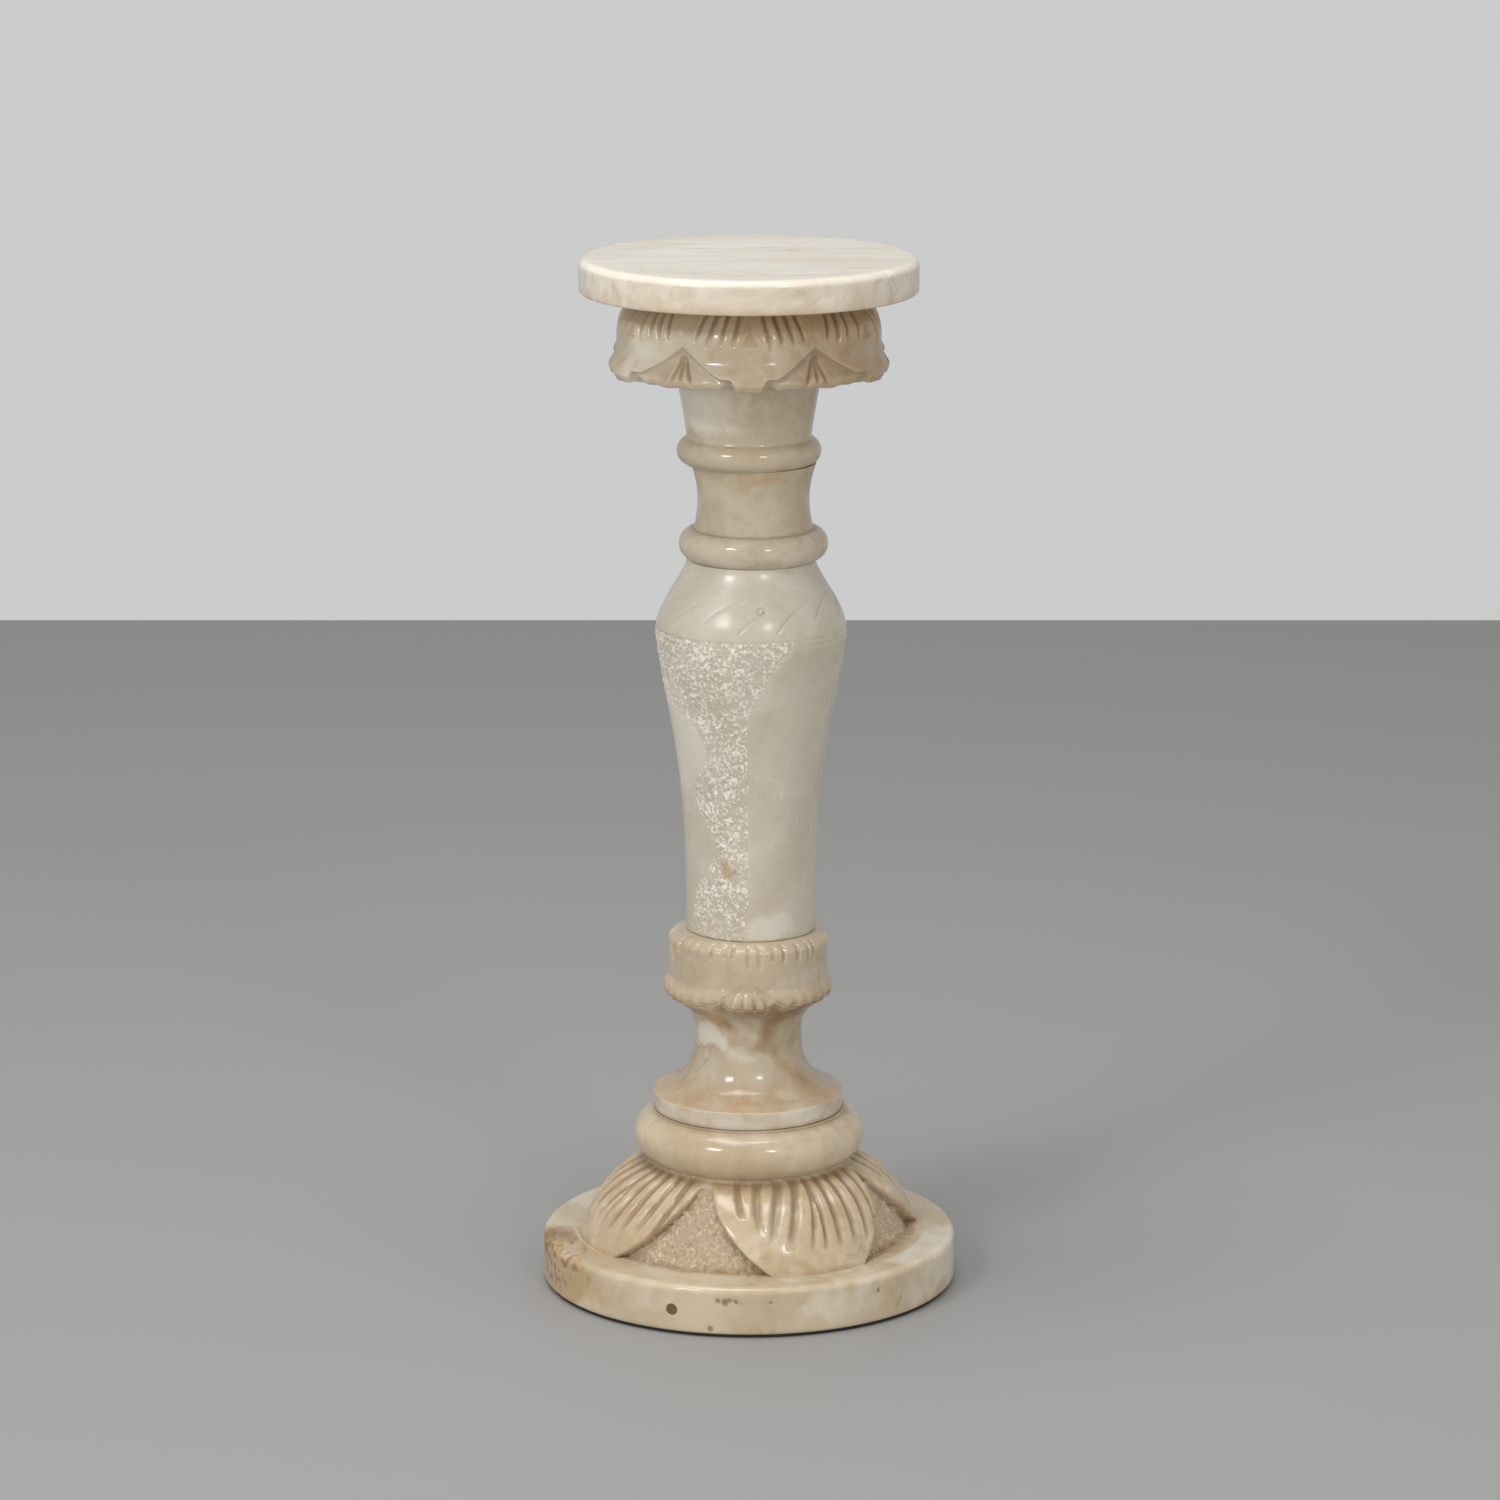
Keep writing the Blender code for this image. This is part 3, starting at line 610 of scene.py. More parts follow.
# turns of a flute at its top, middle and end as shares of half a leaf, its end height, its width
FLUTES = ((-0.70, -0.66, -0.62, 0.0655, 0.0064), (-0.46, -0.52, -0.43, 0.0560, 0.0092),
          (-0.22, -0.34, -0.37, 0.0515, 0.0096), (-0.02, -0.17, -0.23, 0.0475, 0.0090),
          (0.14, 0.03, -0.05, 0.0465, 0.0058), (0.14, 0.13, 0.06, 0.0440, 0.0052),
          (0.30, 0.24, 0.21, 0.0455, 0.0072), (0.46, 0.41, 0.35, 0.0440, 0.0074),
          (0.64, 0.59, 0.49, 0.0445, 0.0072), (0.82, 0.77, 0.63, 0.0465, 0.0066))
FLUTE_DEPTH = 0.0036

skin = Skin(base)
hand = np.random.default_rng(7)
bell = ((skin.height < CREASE + 1e-5) & (skin.height > PLINTH_HEIGHT - 1e-5)
        & (skin.radius < BELL_TIP + 1e-5))
down = share((CREASE - skin.height) / (CREASE - PLINTH_HEIGHT))
ground = between(BELL_TOP, BELL_FOOT, down) + 0.0020 * np.sin(pi * down)
raised = np.zeros_like(down)
cuts = np.zeros_like(down)
crown = np.zeros_like(down)
for number, middle in enumerate(LEAF_MIDDLES):
    across = np.abs(near(skin.turn, middle)) / HALF_LEAF
    half = 1.0 - 0.36 * down - 0.22 * down ** 2
    rim = share((half - across) / 0.055)
    leaf = np.sqrt(1.0 - (1.0 - rim) ** 2)
    crown = np.where(leaf > raised, (across / half) ** 2, crown)
    raised = np.maximum(raised, leaf)
    for first, bend, last, end, width in FLUTES:
        wander = hand.uniform(-0.02, 0.02, 3) * (number > 0)
        turns = [middle + HALF_LEAF * (value + change)
                 for value, change in zip((first, bend, last), wander)]
        stop = end + hand.uniform(-0.003, 0.003) * (number > 0)
        cuts = np.maximum(cuts, flute(skin, turns, CREASE, stop, width, FLUTE_DEPTH, 0.12) * leaf)
chisel = speckle(skin, 0.0036, 1) * 0.7 + speckle(skin, 0.0080, 2) * 0.5
rough = np.where(bell, 1.0 - raised, 0.0) * soft(down, 0.02, 0.10)
leaf_radius = skin.radius - 0.0040 * crown * np.sqrt(np.sin(pi * np.clip(down, 0.001, 0.999)))
carved = ground + (leaf_radius - ground) * raised - cuts * np.cos(radians(BELL_SLOPE))
carved -= rough * (0.0004 + 0.0017 * chisel)
skin.radius = np.where(bell, carved, skin.radius)
print(len(LEAF_MIDDLES), "leaves with", len(FLUTES), "flutes each")

# %% [markdown]
# The plinth has had knocks: the rim on the left is chipped and rusty, small pits sit on the front,
# and dirt has settled in the corner where ground and plinth meet. All of it is marked on the mesh,
# and so is a large pale patch on the plinth's right, which is painted light.

# %% Base: wear, stains, dirt, painted shade and light
on_edge = soft(skin.radius, 0.128, 0.137)
chipped = spot(skin, -78.0, PLINTH_HEIGHT, 0.016, 2.6) * on_edge
knocks = share(speckle(skin, 0.0045, 3) + 0.15)
skin.radius -= 0.0022 * chipped * knocks
skin.height -= 0.0020 * chipped * knocks * (skin.height > 0.5 * PLINTH_HEIGHT)
pits = np.zeros_like(down)
for turn, height, size in ((-8.6, 0.0235, 0.0018), (-6.6, 0.0225, 0.0024), (-5.2, 0.0240, 0.0016),
                           (-3.6, 0.0230, 0.0014), (6.0, 0.0225, 0.0012), (-10.6, 0.0035, 0.0022),
                           (-63.0, 0.0240, 0.0020), (-70.0, 0.0180, 0.0022), (38.0, 0.0215, 0.0014)):
    pits = np.maximum(pits, spot(skin, turn, height, 1.6 * size))
pits *= (skin.radius > 0.135)
skin.radius -= 0.0007 * pits
skin.put_back()

corner = ((1.0 - soft(np.abs(skin.height - PLINTH_HEIGHT), 0.0, 0.004))
          * (1.0 - soft(np.abs(skin.radius - 0.110), 0.003, 0.012)))
under_torus = bell * (1.0 - soft(down, 0.0, 0.10))
leaf_foot = bell * share(4.0 * raised * (1.0 - raised))
on_torus = skin.height > CREASE
torus_top = spot(skin, 0.0, CREASE + TORUS_HEIGHT, 0.004, 400.0)
plinth_side = skin.radius > 0.12
rim_dirt = plinth_side * (0.80 * blot(skin, -82.0, 0.026, 0.016, 1.6, 1)
                          + 0.95 * blot(skin, -68.0, 0.023, 0.032, 1.9, 8)
                          * soft(speckle(skin, 0.0045, 14), 0.05, 0.30))
skin.mark(
    pecked=rough + 0.7 * chipped,
    # In the flutes the brown is partly real dirt and partly painted shade that deepens the grooves.
    dirt=0.72 * (cuts / FLUTE_DEPTH) ** 1.3 + 0.30 * corner + 0.25 * under_torus
        + 0.12 * leaf_foot + 0.30 * rough * soft(chisel, -0.1, 0.7) + 1.1 * pits
        + 0.60 * chipped * knocks + rim_dirt + 0.30 * torus_top + 0.24 * on_torus + 0.22 * bell,
    rust=0.22 * on_torus + 0.30 * corner
        + plinth_side * blots(
            skin, (2.0, -74.0, 0.022, 0.034, 1.7, 2), (0.9, -60.0, 0.021, 0.018, 1.8, 10),
            (0.55, -48.0, 0.018, 0.024, 2.2, 3), (0.50, -5.0, 0.0235, 0.007, 2.5, 4),
            (0.35, 60.0, 0.016, 0.018, 2.2, 5))
        + 0.45 * rough * soft(speckle(skin, 0.02, 4), -0.2, 0.5)
        + bell * raised * (0.36 + 0.20 * soft(down, 0.45, 0.0)),
    # The large milky patch at 66 degrees, on the plinth's right, is painted light.
    milky=0.20 * on_torus
        + plinth_side * blots(
            skin, (0.8, 26.0, 0.018, 0.020, 2.4, 6), (0.6, -30.0, 0.020, 0.016, 2.4, 7),
            (1.2, 66.0, 0.022, 0.030, 2.2, 9)))
base.data.set_sharp_from_angle(angle=EDGE_ANGLE)
place_piece(base, base_finish, "base")

# %% [markdown]
# The filler is a small, slightly sunk plug of brown cement with a crumbly face.

# %% Base: the filler plug
PLUG_LENGTH = 0.0012
plug = round_bit("hole_filler", HOLE_RADIUS - 0.0001, PLUG_LENGTH,
                 PLINTH_RADIUS - HOLE_DEPTH + 0.5 * PLUG_LENGTH, bevel=0.0003)
cement, tree, shader = new_material("old_cement")
where = add(tree, "ShaderNodeTexCoord").outputs["Object"]
crumbs = cloud(tree, where, 700.0, 4.0)
crumb_tone = blend(tree, crumbs, (0.080, 0.050, 0.022, 1.0), (0.21, 0.145, 0.075, 1.0))
crumb_bump = add(tree, "ShaderNodeBump", {"Height": crumbs, "Distance": 0.0008})
feed(tree, shader, {"Base Color": crumb_tone, "Normal": crumb_bump.outputs["Normal"], "Roughness": 0.85})
plug.data.materials.append(cement)
plug.data.transform(Matrix.Translation((0.0, 0.0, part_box("base")[0].z)))
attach(plug, "root")
print("filler plug in place")

# %% [markdown]
# Two pieces carry a collar of hanging leaves: the stem a small one, the capital a large one. Both
# follow one rule. A rounded shoulder rolls down into a face that flares at the lip. Between two
# leaves a small fan starts at an apex and widens to the lip. `collar_radius` gives the plain face.

# %% Leaf collars: the face
WIDEST = 0.93


def collar_radius(down, top, face, lip, shoulder, flare, curl):
    """The face's radius at a share of the way down; flare and shoulder are such shares too."""
    rise = np.sin(pi / 2 * share(down / shoulder))
    out = soft(down, flare, WIDEST)
    tuck = share((down - WIDEST) / (1.0 - WIDEST))
    return between(top, face, rise) + out * (lip - face) - curl * tuck


def collar_outline(top_height, length, sizes, steps):
    return [(float(collar_radius(step / steps, *sizes)), top_height - length * step / steps)
            for step in range(steps + 1)]


def edge_share(phase, tip, apex, tip_share=0.955, sweep_in=1.5):
    """How far down the edge between leaf and fan lies: at the apex when phase is 1."""
    return between(tip_share, apex, share((phase - tip) / (1.0 - tip)) ** sweep_in)


print("a collar is widest at", WIDEST, "of its length")

# %% [markdown]
# The stem joins base and body. Its dish lies on the torus, its waist is the narrowest part of the
# column, and its collar has four leaves with short flutes along the top and beads along the lip.

# %% Stem: the turned block
STEM_HEIGHT, STEM_LENGTH, WAIST_RADIUS = 0.1248, 0.0430, 0.0364
STEM_SIZES = (0.0465, 0.0535, 0.0577, 0.16, 0.70, 0.0006)
DISH_RADIUS, DISH_THICKNESS = 0.0641, 0.0122
stem_lip = STEM_HEIGHT - STEM_LENGTH
waist_top, waist_foot = (WAIST_RADIUS, stem_lip - 0.0240), (WAIST_RADIUS, stem_lip - 0.0350)
rim = (DISH_RADIUS - 0.0012, DISH_THICKNESS)
hollow = (rim[0] - WAIST_RADIUS, waist_foot[1] - rim[1] - 0.0022)
outline = [(0.0, STEM_HEIGHT)] + collar_outline(STEM_HEIGHT, STEM_LENGTH, STEM_SIZES, 64)
under_lip = (0.0552, stem_lip - 0.0022)
outline += even([outline[-1], under_lip], 0.0008)[1:]
outline += sweep(under_lip, waist_top, lambda part: sin(pi / 2 * part) ** 0.8, 22)[1:]
outline += even([waist_top, waist_foot], 0.0016)[1:]
outline += arc((rim[0], waist_foot[1]), (-hollow[0], -hollow[1]), 2.0, 80.0, 24)
outline += arc((DISH_RADIUS - 0.0010, DISH_THICKNESS - 0.0010), (0.0010, 0.0010), 90.0, 0.0, 3)
outline += even([(DISH_RADIUS, DISH_THICKNESS - 0.0010), (DISH_RADIUS, 0.0006)], 0.0025)[1:]
outline += [(DISH_RADIUS - 0.0006, 0.0), (0.0, 0.0)]
stem = turned("carved_stem", outline, 480)

# %% [markdown]
# The leaves stand a little proud of the fans between them. Short flutes run down from the collar's
# top edge, and four beads end each fan. The lip has been knocked for so long that it is an uneven
# row of scallops, so all cuts here are shallow and no two alike. Under the lip the stem is plain.

# %% Stem: leaves, flutes and beads
STEM_LEAVES, STEM_CUT = 4, 0.0024
BEADS = (-12.0, -4.0, 4.5, 12.5)
skin = Skin(stem)
down = (STEM_HEIGHT - skin.height) / STEM_LENGTH
phase = np.abs(near(STEM_LEAVES * skin.turn, 180.0)) / 180.0
facing = (down <= 1.0001) & (skin.radius > 0.046)
border = edge_share(phase, 0.40, 0.50)
beyond = (down - border) * STEM_LENGTH
step_down = soft(beyond, -0.0010, 0.0016)
fade = 1.0 - soft(down, 0.86, 1.0)
relief = soft(down, 0.0, 0.10)
cuts = 0.0007 * step_down * fade * soft(down, 0.52, 0.80)
edge_cuts = cuts.copy()
hand = np.random.default_rng(11)
flute_turns = np.arange(-180.0, 180.0, 360.0 / 38)
for turn in flute_turns:
    turn = turn + hand.uniform(-2.0, 2.0)
    end = STEM_HEIGHT - hand.uniform(0.0100, 0.0185)
    width, depth = hand.uniform(0.0036, 0.0060), hand.uniform(0.5 * STEM_CUT, STEM_CUT)
    cuts = np.maximum(cuts, flute(skin, (turn, turn, turn), STEM_HEIGHT, end, width, depth) * relief)
beads = np.zeros_like(down)
for fan in (0.0, 90.0, 180.0, 270.0):
    for lean in BEADS:
        bead = groove(aside(skin, fan + lean * soft(down, 0.45, 1.0)), 0.0015)
        beads = np.maximum(beads, bead * soft(down, 0.66, 0.95))
cuts += 0.0014 * beads * step_down
notch = share(1.0 - np.abs(phase - 0.60) / 0.15)
lift = 0.0036 * notch ** 1.3 * soft(down, 0.62, 1.0) * (skin.radius > 0.046)
tip_drop = 0.0012 * share(1.0 - phase / 0.35) * soft(down, 0.80, 1.0)
crown = 0.0006 * relief * (1.0 - phase ** 2) * (1.0 - step_down)
skin.radius = np.where(facing, skin.radius - cuts + crown, skin.radius)
under = (down > 1.0001) & (skin.height > stem_lip - 0.012) & (skin.radius > WAIST_RADIUS + 0.002)
lift = np.where(under, lift * soft(skin.radius, 0.044, 0.056), np.where(facing, lift - tip_drop, 0.0))
skin.height += lift
lip_wear = soft(down, 0.80, 0.96) * (down < 1.03) * (skin.radius > 0.050)
scallops = np.abs(np.sin(np.radians(19.0 * skin.turn + 40.0 * speckle(skin, 0.03, 12))))
skin.radius -= lip_wear * (0.0014 * scallops ** 2 + 0.0012 * share(speckle(skin, 0.0045, 13)))
print(STEM_LEAVES, "leaves,", len(flute_turns), "short flutes,", len(BEADS), "beads a fan")

# %% [markdown]
# The stem is the most stained piece: tan on the dish, brown veins across the waist with a crack,
# and two milky clouds. Dirt lies where the waist meets the dish. Under the lip, and on the waist's
# right side and back, the darkening is painted shade.

# %% Stem: stains, dirt and painted shade
def streak(skin, path, width):
    """1 along a line on the skin through (turn, height) places, 0 one width away from it."""
    radius = 0.04
    marked = np.zeros_like(skin.height)
    for start, end in zip(path, path[1:]):
        run = np.array((radians(end[0] - start[0]) * radius, end[1] - start[1]))
        side = np.radians(near(skin.turn, start[0])) * radius
        rise = skin.height - start[1]
        part = share((side * run[0] + rise * run[1]) / (run @ run))
        away = np.hypot(side - part * run[0], rise - part * run[1])
        marked = np.maximum(marked, 1.0 - soft(away, 0.15 * width, width))
    return marked


wobble = 0.0035 * speckle(skin, 0.012, 5) + 0.0015 * speckle(skin, 0.004, 6)
shifted = Skin(stem)
shifted.turn, shifted.height = skin.turn + 500.0 * wobble, skin.height + wobble
shifted.radius = skin.radius
skin.put_back()
dish_top = soft(skin.height, 0.034, 0.018) * (skin.height > DISH_THICKNESS - 0.0006)
waist_veins = (((43.0, 0.0760), (22.0, 0.0660), (16.5, 0.0534), (35.0, 0.0380), (56.0, 0.0280),
                (60.0, 0.0180)),
               ((-60.0, 0.0780), (-34.0, 0.0710), (-18.0, 0.0620)),
               ((150.0, 0.0740), (172.0, 0.0560), (200.0, 0.0360), (205.0, 0.0200)))
veins = np.zeros_like(down)
for path in waist_veins:
    veins = np.maximum(veins, 0.78 * streak(shifted, path, 0.0110))
    veins = np.maximum(veins, soft(speckle(skin, 0.011, 9), -0.25, 0.30) * streak(shifted, path, 0.0022))
crack = streak(shifted, ((-66.0, 0.0450), (-50.0, 0.0475), (-32.0, 0.0480)), 0.0013)
veins = np.maximum(veins, 0.9 * crack)
# Under the lip the brown and tan are painted shade.
shade_beneath_lip = soft(skin.height, stem_lip - 0.020, stem_lip - 0.002) * (down > 1.0)
# The waist's right side and back are darkened with painted shade.
painted_shade_side = soft(skin.height, 0.036, 0.052) * (down > 1.0) * soft(near(skin.turn, 10.0), -50.0, -10.0)
skin.mark(
    dirt=0.42 * facing * (cuts - edge_cuts) / STEM_CUT + 0.50 * veins ** 3 + 0.26 * shade_beneath_lip
        + 0.22 * dish_top + 0.42 * painted_shade_side + 0.25 * (down < 0.02)
        + 0.30 * foot_line(skin) * (skin.radius > 0.06),
    rust=0.80 * veins + dish_top * between(0.42, 0.66, soft(speckle(skin, 0.022, 7), -0.7, 0.7))
        + 0.25 * facing * soft(down, 0.55, 0.9) + 0.45 * shade_beneath_lip,
    milky=0.5 * (skin.height < DISH_THICKNESS - 0.0004)
        + blots(skin, (1.5, -46.0, 0.057, 0.017, 1.2, 1), (0.7, -10.0, 0.0440, 0.009, 2.0, 2),
                (0.8, 32.0, 0.014, 0.016, 1.4, 3)),
    pecked=0.0)
place_piece(stem, stem_finish, "stem")

# %% [markdown]
# The body is a long vase. Slanting lines are incised round its shoulder, two fine lines are scribed
# under them, and on the front left the polish gives way to a pecked patch with a ragged outline.

# %% Body: the turned block
BODY_HEIGHT, BODY_FOOT, BELLY_RADIUS, BELLY_HEIGHT, BODY_TOP = 0.2529, 0.0439, 0.0640, 0.2030, 0.0428
outline = [(0.0, BODY_HEIGHT)]
outline += sweep((BODY_TOP, BODY_HEIGHT), (BELLY_RADIUS, BELLY_HEIGHT),
                 lambda part: sin(pi / 2 * part) ** 1.4, 60)
outline += sweep((BELLY_RADIUS, BELLY_HEIGHT), (BODY_FOOT, 0.0008),
                 lambda part: 1.0 - cos(pi / 2 * part ** 0.7) ** 2.9, 148)[1:]
outline += [(BODY_FOOT - 0.0006, 0.0), (0.0, 0.0)]
body = turned("vase_body", outline, 448)

# %% [markdown]
# The slanting lines are cut by eye, so they start, end and lean a little differently. The scribed
# lines are finer and partly worn away. The patch was struck with a point: its left and right edges
# are given as turns at some heights, noise makes them ragged, and its marks are wider than high.

# %% Body: incised lines and the pecked patch
LINES, LINE_LEAN, LINE_FOOT, LINE_TOP = 14, 34.0, 0.2135, 0.2365
skin = Skin(body)
level = skin.height
side_wall = skin.radius > 0.0425
hand = np.random.default_rng(5)
incised = np.zeros_like(level)
for number in range(LINES):
    foot, top = LINE_FOOT + hand.uniform(-0.002, 0.003), LINE_TOP + hand.uniform(-0.003, 0.001)
    part = share((level - foot) / (top - foot))
    start = -33.0 + 360.0 / LINES * number + hand.uniform(-2.0, 2.0)
    line = start + LINE_LEAN * (0.30 * part + 0.70 * part ** 2.2)
    lean = 0.75 - 0.35 * part
    away = aside(skin, line) * lean
    run = (level > foot) * (level < top) * np.sin(pi * np.clip(part, 0.03, 0.97)) ** 0.4
    incised = np.maximum(incised, groove(away, 0.0010) * run)
scribed = np.zeros_like(level)
for height in (0.2078, 0.2040):
    wave = 0.0004 * np.sin(np.radians(3.0 * skin.turn + 40.0))
    scribed = np.maximum(scribed, groove(level - height - wave, 0.0008))
scribed *= 1.0 - 0.6 * soft(speckle(skin, 0.03, 8), -0.3, 0.4)

right = np.interp(level, (0.0, 0.060, 0.112, 0.156, 0.163, 0.168, 0.183, 0.2025, 0.2085),
                  (-1.7, -2.5, -2.3, -2.6, 0.5, 4.0, 10.5, 26.0, 27.0))
left = np.interp(level, (0.0, 0.031, 0.058, 0.069, 0.089, 0.105, 0.124, 0.135, 0.150, 0.163, 0.185),
                 (-69.0, -57.0, -31.5, -33.0, -49.0, -51.0, -37.0, -37.0, -47.0, -88.0, -112.0))
ragged = 1.6 * speckle(skin, 0.005, 6) + 1.5 * speckle(skin, 0.012, 7)
turn = near(skin.turn, -40.0) - 40.0
patch = soft(turn - left + ragged, -0.6, 0.8) * soft(right - turn + 0.6 * ragged, -0.4, 0.6)
patch *= soft(level, 0.2082, 0.2074) * side_wall
patch *= 0.55 + 0.45 * soft(level, 0.005, 0.050)
stroke = skin.places() * np.array((1.0, 1.0, 1.9))
hatch = grains(stroke, 0.0034) + 0.5 * grains(stroke, 0.0062, (9.0, 4.0, 2.0))
cuts = 0.0008 * incised + 0.0005 * scribed * side_wall
chip = spot(skin, 7.0, 0.2275, 0.0034, 1.4)
skin.radius -= cuts + 0.0014 * chip + patch * (0.0004 + 0.0007 * hatch)
skin.put_back()
skin.mark(
    pecked=patch * between(0.72, 1.0, soft(hatch, 0.45, -0.25)),
    dirt=0.34 * incised + 0.22 * scribed * (1.0 - patch) + 0.10 * patch * soft(hatch, 0.0, 0.6)
        + 0.40 * spot(skin, 8.4, 0.2270, 0.0016) + 0.35 * foot_line(skin, 0.0020)
        + 0.20 * soft(level, 0.2512, 0.2526) * side_wall,
    rust=0.30 * soft(level, 0.050, 0.004)
        + blots(skin, (0.80, -19.0, 0.047, 0.010, 1.0, 1), (0.45, -26.0, 0.054, 0.008, 1.0, 2),
                (0.35, -52.0, 0.11, 0.034, 0.6, 3)),
    # The large milky patch on the body's left, at -66 degrees, is painted light.
    milky=blots(skin, (0.9, 20.0, 0.010, 0.020, 1.4, 4), (0.4, 30.0, 0.10, 0.05, 0.6, 5),
                (1.0, -66.0, 0.135, 0.085, 0.55, 6)))
place_piece(body, body_finish, "body")

# %% [markdown]
# The neck is a plain hollow above a fat ring. It is smooth all over, so it needs few columns.

# %% Neck
def ring_line(radius, foot, crease, height, steps=18):
    """A rounded ring that stands on 0, from its upper crease down to its foot."""
    reach = 1.15 * (radius - 0.5 * (foot + crease))
    side = arc((radius - reach, 0.5 * height), (reach, 0.5 * height), 72.0, -68.0, steps)
    return [(crease, height)] + side + [(foot, 0.0)]


NECK_TOP, NECK_WAIST, NECK_RING = (0.0418, 0.0644), (0.0373, 0.0404), 0.0206
ring = ring_line(0.0497, 0.0428, 0.0399, NECK_RING)
neck_height = NECK_TOP[1] + 0.0003
outline = [(0.0, neck_height), (NECK_TOP[0], neck_height)]
outline += sweep(NECK_TOP, NECK_WAIST, lambda part: 1.0 - (1.0 - part) ** 2, 22)
outline += sweep(NECK_WAIST, ring[0], lambda part: part ** 2, 14)[1:] + ring[1:] + [(0.0, 0.0)]
neck = turned("hollow_neck", outline, 240)
skin = Skin(neck)
crease_dirt = 1.0 - soft(np.abs(skin.height - NECK_RING + 0.0003), 0.0003, 0.0022)
crease_dirt *= soft(skin.radius, 0.0440, 0.0405)
skin.mark(
    dirt=0.16 + 0.42 * crease_dirt + 0.25 * foot_line(skin)
        + 0.08 * soft(skin.height, 0.0626, 0.0643) * (skin.radius > 0.04),
    rust=0.35 * soft(skin.height, 0.050, 0.063) + 0.25 * blot(skin, 10.0, 0.056, 0.012, 2.0, 1),
    milky=0.38 * soft(skin.height, 0.0230, 0.0190),
    pecked=0.0)
neck.data.set_sharp_from_angle(angle=EDGE_ANGLE)
place_piece(neck, capital_finish, "neck")

# %% [markdown]
# The capital spreads from a narrow neck to a wide collar of six drooping leaves. Under it the neck
# stays smooth. The block is turned first, with its carving face divided most finely.

# %% Capital: the turned block
CAP_HEIGHT, CAP_LENGTH, THROAT = 0.1141, 0.0510, 0.0478
CAP_SIZES = (0.0745, 0.0866, 0.0937, 0.50, 0.62, 0.0022)
CAP_RING = 0.0166
cap_lip = CAP_HEIGHT - CAP_LENGTH
ring = ring_line(0.0480, 0.0418, 0.0414, CAP_RING)
throat = (THROAT, cap_lip - 0.0070)
outline = [(0.0, CAP_HEIGHT)] + collar_outline(CAP_HEIGHT, CAP_LENGTH, CAP_SIZES, 78)
outline += even([outline[-1], (CAP_SIZES[2] - 0.0050, cap_lip - 0.0012)], 0.0010)[1:]
outline += even([outline[-1], throat], 0.0040)[1:]
outline += sweep(throat, ring[0], lambda part: 1.0 - (1.0 - part) ** 1.2, 10)[1:] + ring[1:]
outline += [(ring[-1][0], -0.0005), (0.0, -0.0005)]
capital = turned("carved_capital", outline, 720)

# %% [markdown]
# A leaf here has eight flutes fanning out from under the plate, a small sunk triangle in its middle
# and a square tab for a tip. Its edge is a cut line with the fan lying a step lower. Three cuts
# spread over each fan, and its lip rolls outwards.

# %% Capital: leaves and fans
# turn of a flute at its top and its end in degrees from the midrib, its end height, its width
CAP_FLUTES = ((-3.6, -7.0, 0.0900, 0.0048), (-9.3, -12.2, 0.0910, 0.0046), (-14.5, -18.2, 0.0890, 0.0052),
              (-20.0, -23.5, 0.0920, 0.0044), (5.6, 9.8, 0.0865, 0.0050), (11.0, 14.2, 0.0920, 0.0046),
              (16.0, 19.5, 0.0905, 0.0052), (21.0, 24.5, 0.0920, 0.0044))
CAP_LEAVES, CAP_CUT, LEAF_TURN = 6, 0.0028, 60.0
skin = Skin(capital)
down = (CAP_HEIGHT - skin.height) / CAP_LENGTH
facing = (down <= 1.0001) & (skin.radius > 0.0742)
phase = np.abs(near(CAP_LEAVES * skin.turn, 0.0)) / 180.0
border = edge_share(phase, 0.17, 0.52, 0.965, 1.15)
beyond = (down - border) * CAP_LENGTH
step_down = soft(beyond, -0.0006, 0.0016) * soft(phase, 0.14, 0.22)
fade = 1.0 - soft(down, 0.84, 1.0)
relief = soft(down, 0.02, 0.30)
crown = 0.0034 * relief * (1.0 - phase ** 2) * (1.0 - step_down)
edge_line = groove(beyond, 0.0014) * soft(phase, 0.14, 0.22)
cuts = 0.0008 * edge_line * (0.5 + 0.5 * fade)
cuts += 0.0018 * step_down * fade
hand = np.random.default_rng(3)
sunk_faces = np.zeros_like(down)
for number in range(CAP_LEAVES):
    middle = LEAF_TURN * number
    wander = 1.4 * (number > 0)
    for top, end, stop, width in CAP_FLUTES:
        shift = hand.uniform(-wander, wander)
        stop = stop + hand.uniform(-0.0015, 0.0015) * (number > 0)
        first, last = middle + top + shift, middle + end + shift
        cuts = np.maximum(cuts, flute(skin, (first, 0.5 * (first + last), last), CAP_HEIGHT, stop,
                                      width * hand.uniform(0.9, 1.2), CAP_CUT) * soft(down, 0.0, 0.10))
    away = np.abs(near(skin.turn, middle + hand.uniform(-0.6, 0.6)))
    open_side = 3.6 * share((0.1015 - skin.height) / 0.0105)
    sunk = soft(open_side - away, -0.5, 0.6) * soft(skin.height, 0.0902, 0.0914)
    cuts = np.maximum(cuts, 0.0013 * sunk)
    sunk_faces = np.maximum(sunk_faces, sunk)
fan_cuts = np.zeros_like(down)
for number in range(CAP_LEAVES):
    fan = LEAF_TURN * (number + 0.5)
    side = -1.0 if number % 2 else 1.0
    for lean in (-6.4, -1.2, 3.4):
        cut = groove(aside(skin, fan + side * lean * soft(down, 0.50, 1.05)), 0.0018)
        fan_cuts = np.maximum(fan_cuts, cut * soft(down, 0.56, 0.70) * soft(down, 1.0, 0.90))
cuts += 0.0017 * fan_cuts * step_down

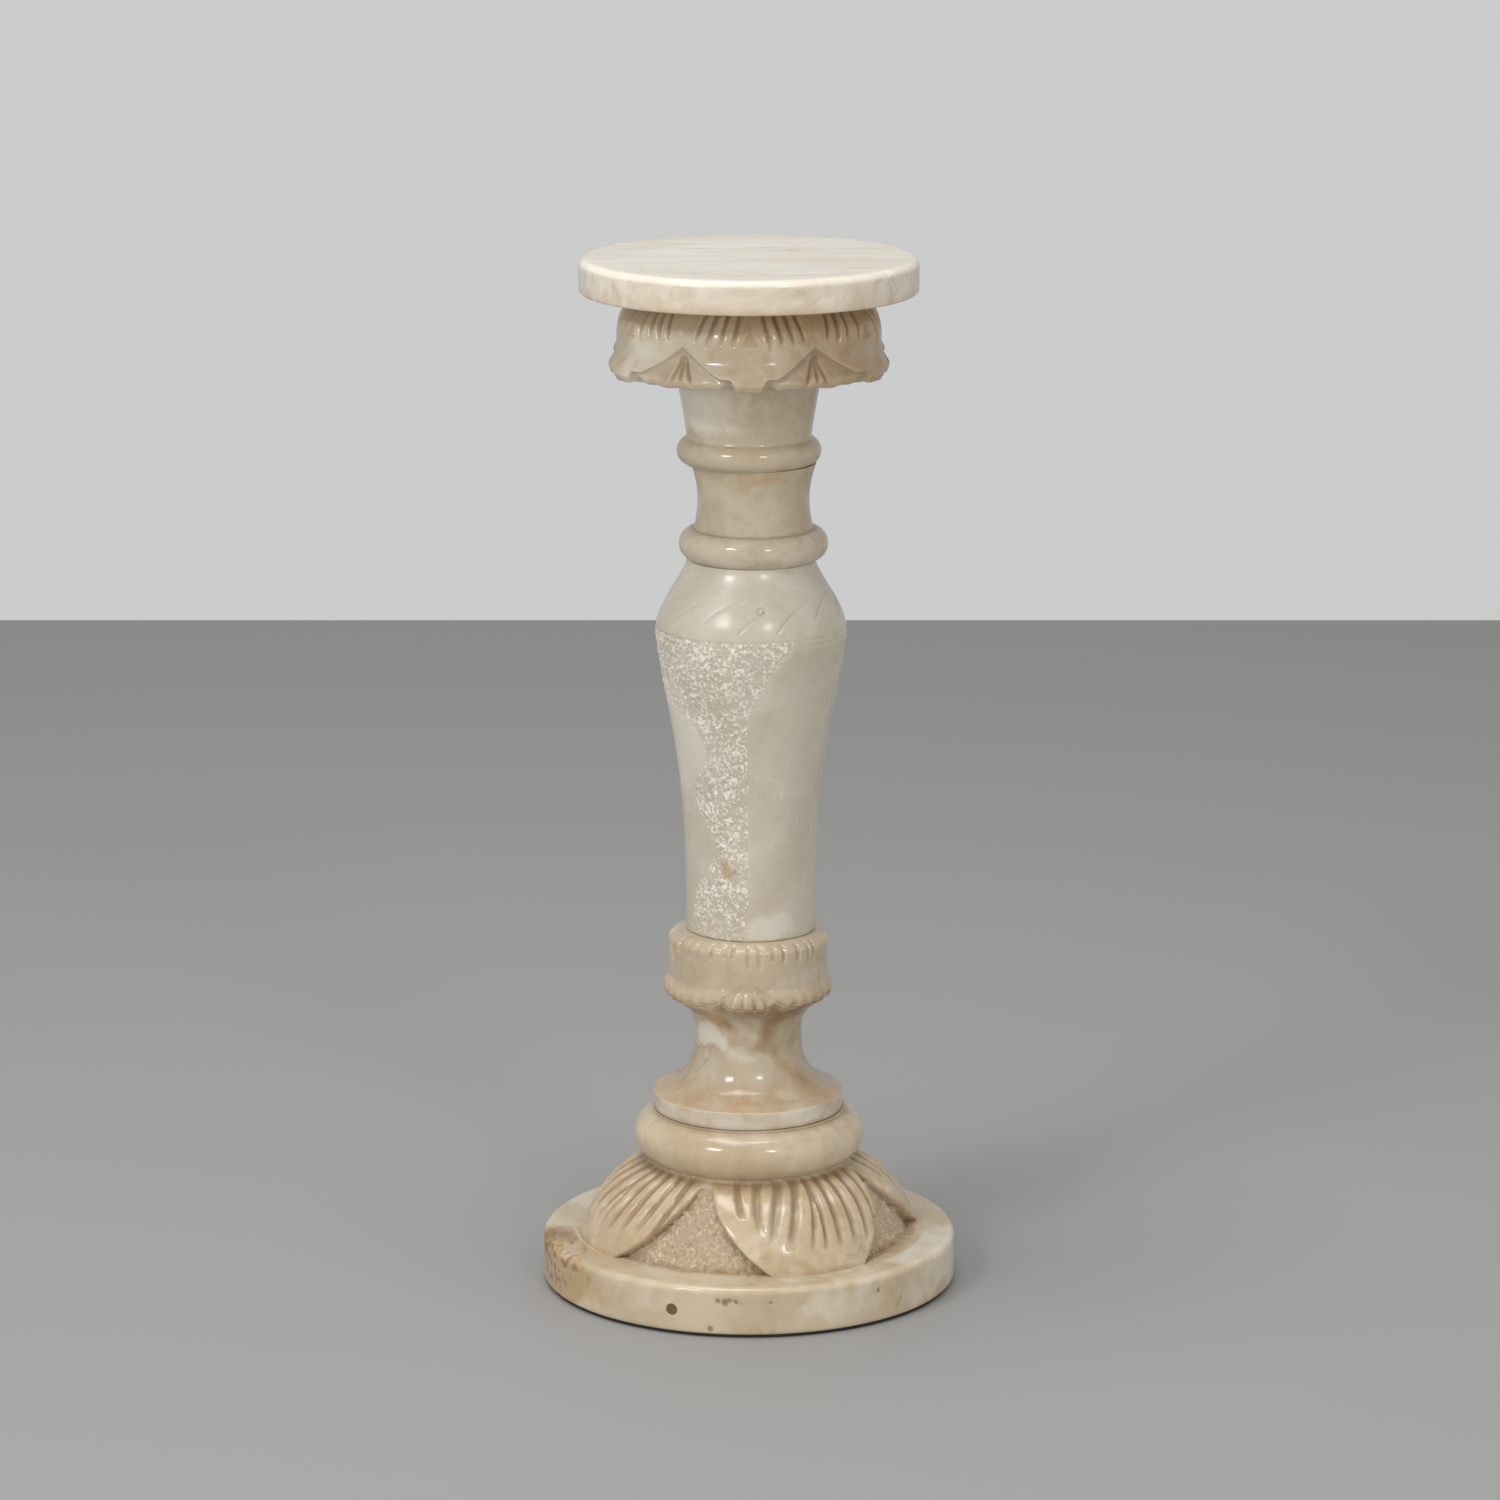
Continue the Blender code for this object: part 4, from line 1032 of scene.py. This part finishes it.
notch = soft(phase, 0.175, 0.235) * soft(phase, 0.42, 0.27)
lobes = 0.0006 * np.sin(phase * 4.5 * pi) * soft(phase, 0.40, 0.55)
edge_lift = 0.0036 * notch + lobes
under = (down > 1.0001) & (skin.height > cap_lip - 0.0066) & (skin.radius > THROAT + 0.001)
tab = soft(phase, 0.22, 0.16)
swell = 0.0006 * tab * soft(down, 0.85, 0.95)
skin.radius = np.where(facing, skin.radius - cuts + crown + swell, skin.radius)
face_lift = edge_lift * soft(down, 0.70, 1.0) - 0.0010 * tab * soft(down, 0.85, 1.0)
under_lift = np.where(under, edge_lift * soft(skin.radius, 0.055, 0.090), 0.0)
skin.height += np.where(facing, face_lift, under_lift)
skin.put_back()
ring_crease = 1.0 - soft(np.abs(skin.height - CAP_RING), 0.0003, 0.0020)
ring_crease *= soft(skin.radius, 0.0450, 0.0420)
# The capital's right side and back are darkened with brown and tan: painted shade.
shade_side_turn = near(skin.turn, 60.0)
# The throat is paler stone, and its paling grows towards the front left as painted light.
pale_lit_throat = soft(skin.height, 0.0210, 0.0280) * (1.0 - facing)
skin.mark(
    # In the flutes the brown is partly real dirt and partly painted shade.
    dirt=facing * (0.14 + 0.50 * (cuts / CAP_CUT) ** 1.5 + 0.26 * soft(shade_side_turn, -70.0, -20.0)
                   + 0.14 * (1.0 - soft(down, 0.0, 0.12)))
        + 0.08 * foot_line(skin) + 0.34 * ring_crease,
    # The golden tan at the top, under the plate, is a painted glow of light through the stone.
    rust=facing * (0.55 * (1.0 - soft(down, 0.0, 0.60)) + 0.52 * soft(shade_side_turn, -85.0, -20.0)
                   + 0.35 * sunk_faces)
        + 0.5 * blot(skin, -75.0, 0.010, 0.010, 1.2, 1) + 0.35 * foot_line(skin, 0.0060),
    milky=0.8 * blot(skin, -50.0, 0.082, 0.034, 1.2, 2) * facing
        + pale_lit_throat * between(0.10, 1.0, soft(near(skin.turn, -45.0), 75.0, -10.0)),
    pecked=0.0)
place_piece(capital, capital_finish, "capital")

# %% [markdown]
# The top plate is the palest and most polished piece. Its upper edge is a wide soft round, the
# lower edge a small one.

# %% Top plate
PLATE_RADIUS, PLATE_HEIGHT = 0.1123, 0.0227
upper = arc((PLATE_RADIUS - 0.0060, PLATE_HEIGHT - 0.0048), (0.0060, 0.0048), 90.0, 0.0, 12)
lower = arc((PLATE_RADIUS - 0.0022, 0.0018), (0.0022, 0.0018), 0.0, -90.0, 5)
outline = even([(0.0, PLATE_HEIGHT), upper[0]], 0.012) + upper[1:]
outline += even([upper[-1], lower[0]], 0.003)[1:] + lower[1:] + [(0.0, 0.0)]
plate = turned("round_plate", outline, 320)
skin = Skin(plate)
skin.mark(
    dirt=0.25 * spot(skin, 0.0, 0.0, 0.0015, 500.0) * (skin.radius < 0.1115),
    # The tan on the plate's side is painted shade, which keeps the side darker than the top.
    rust=(skin.radius > 0.11) * (0.42 * soft(skin.height, 0.021, 0.017)
                                        + 0.15 * soft(skin.height, 0.010, 0.001)),
    milky=blots(skin, (0.6, -8.0, 0.010, 0.016, 2.2, 1), (0.5, 100.0, 0.010, 0.016, 2.0, 2)),
    pecked=0.0)
place_piece(plate, plate_finish, "top_plate")
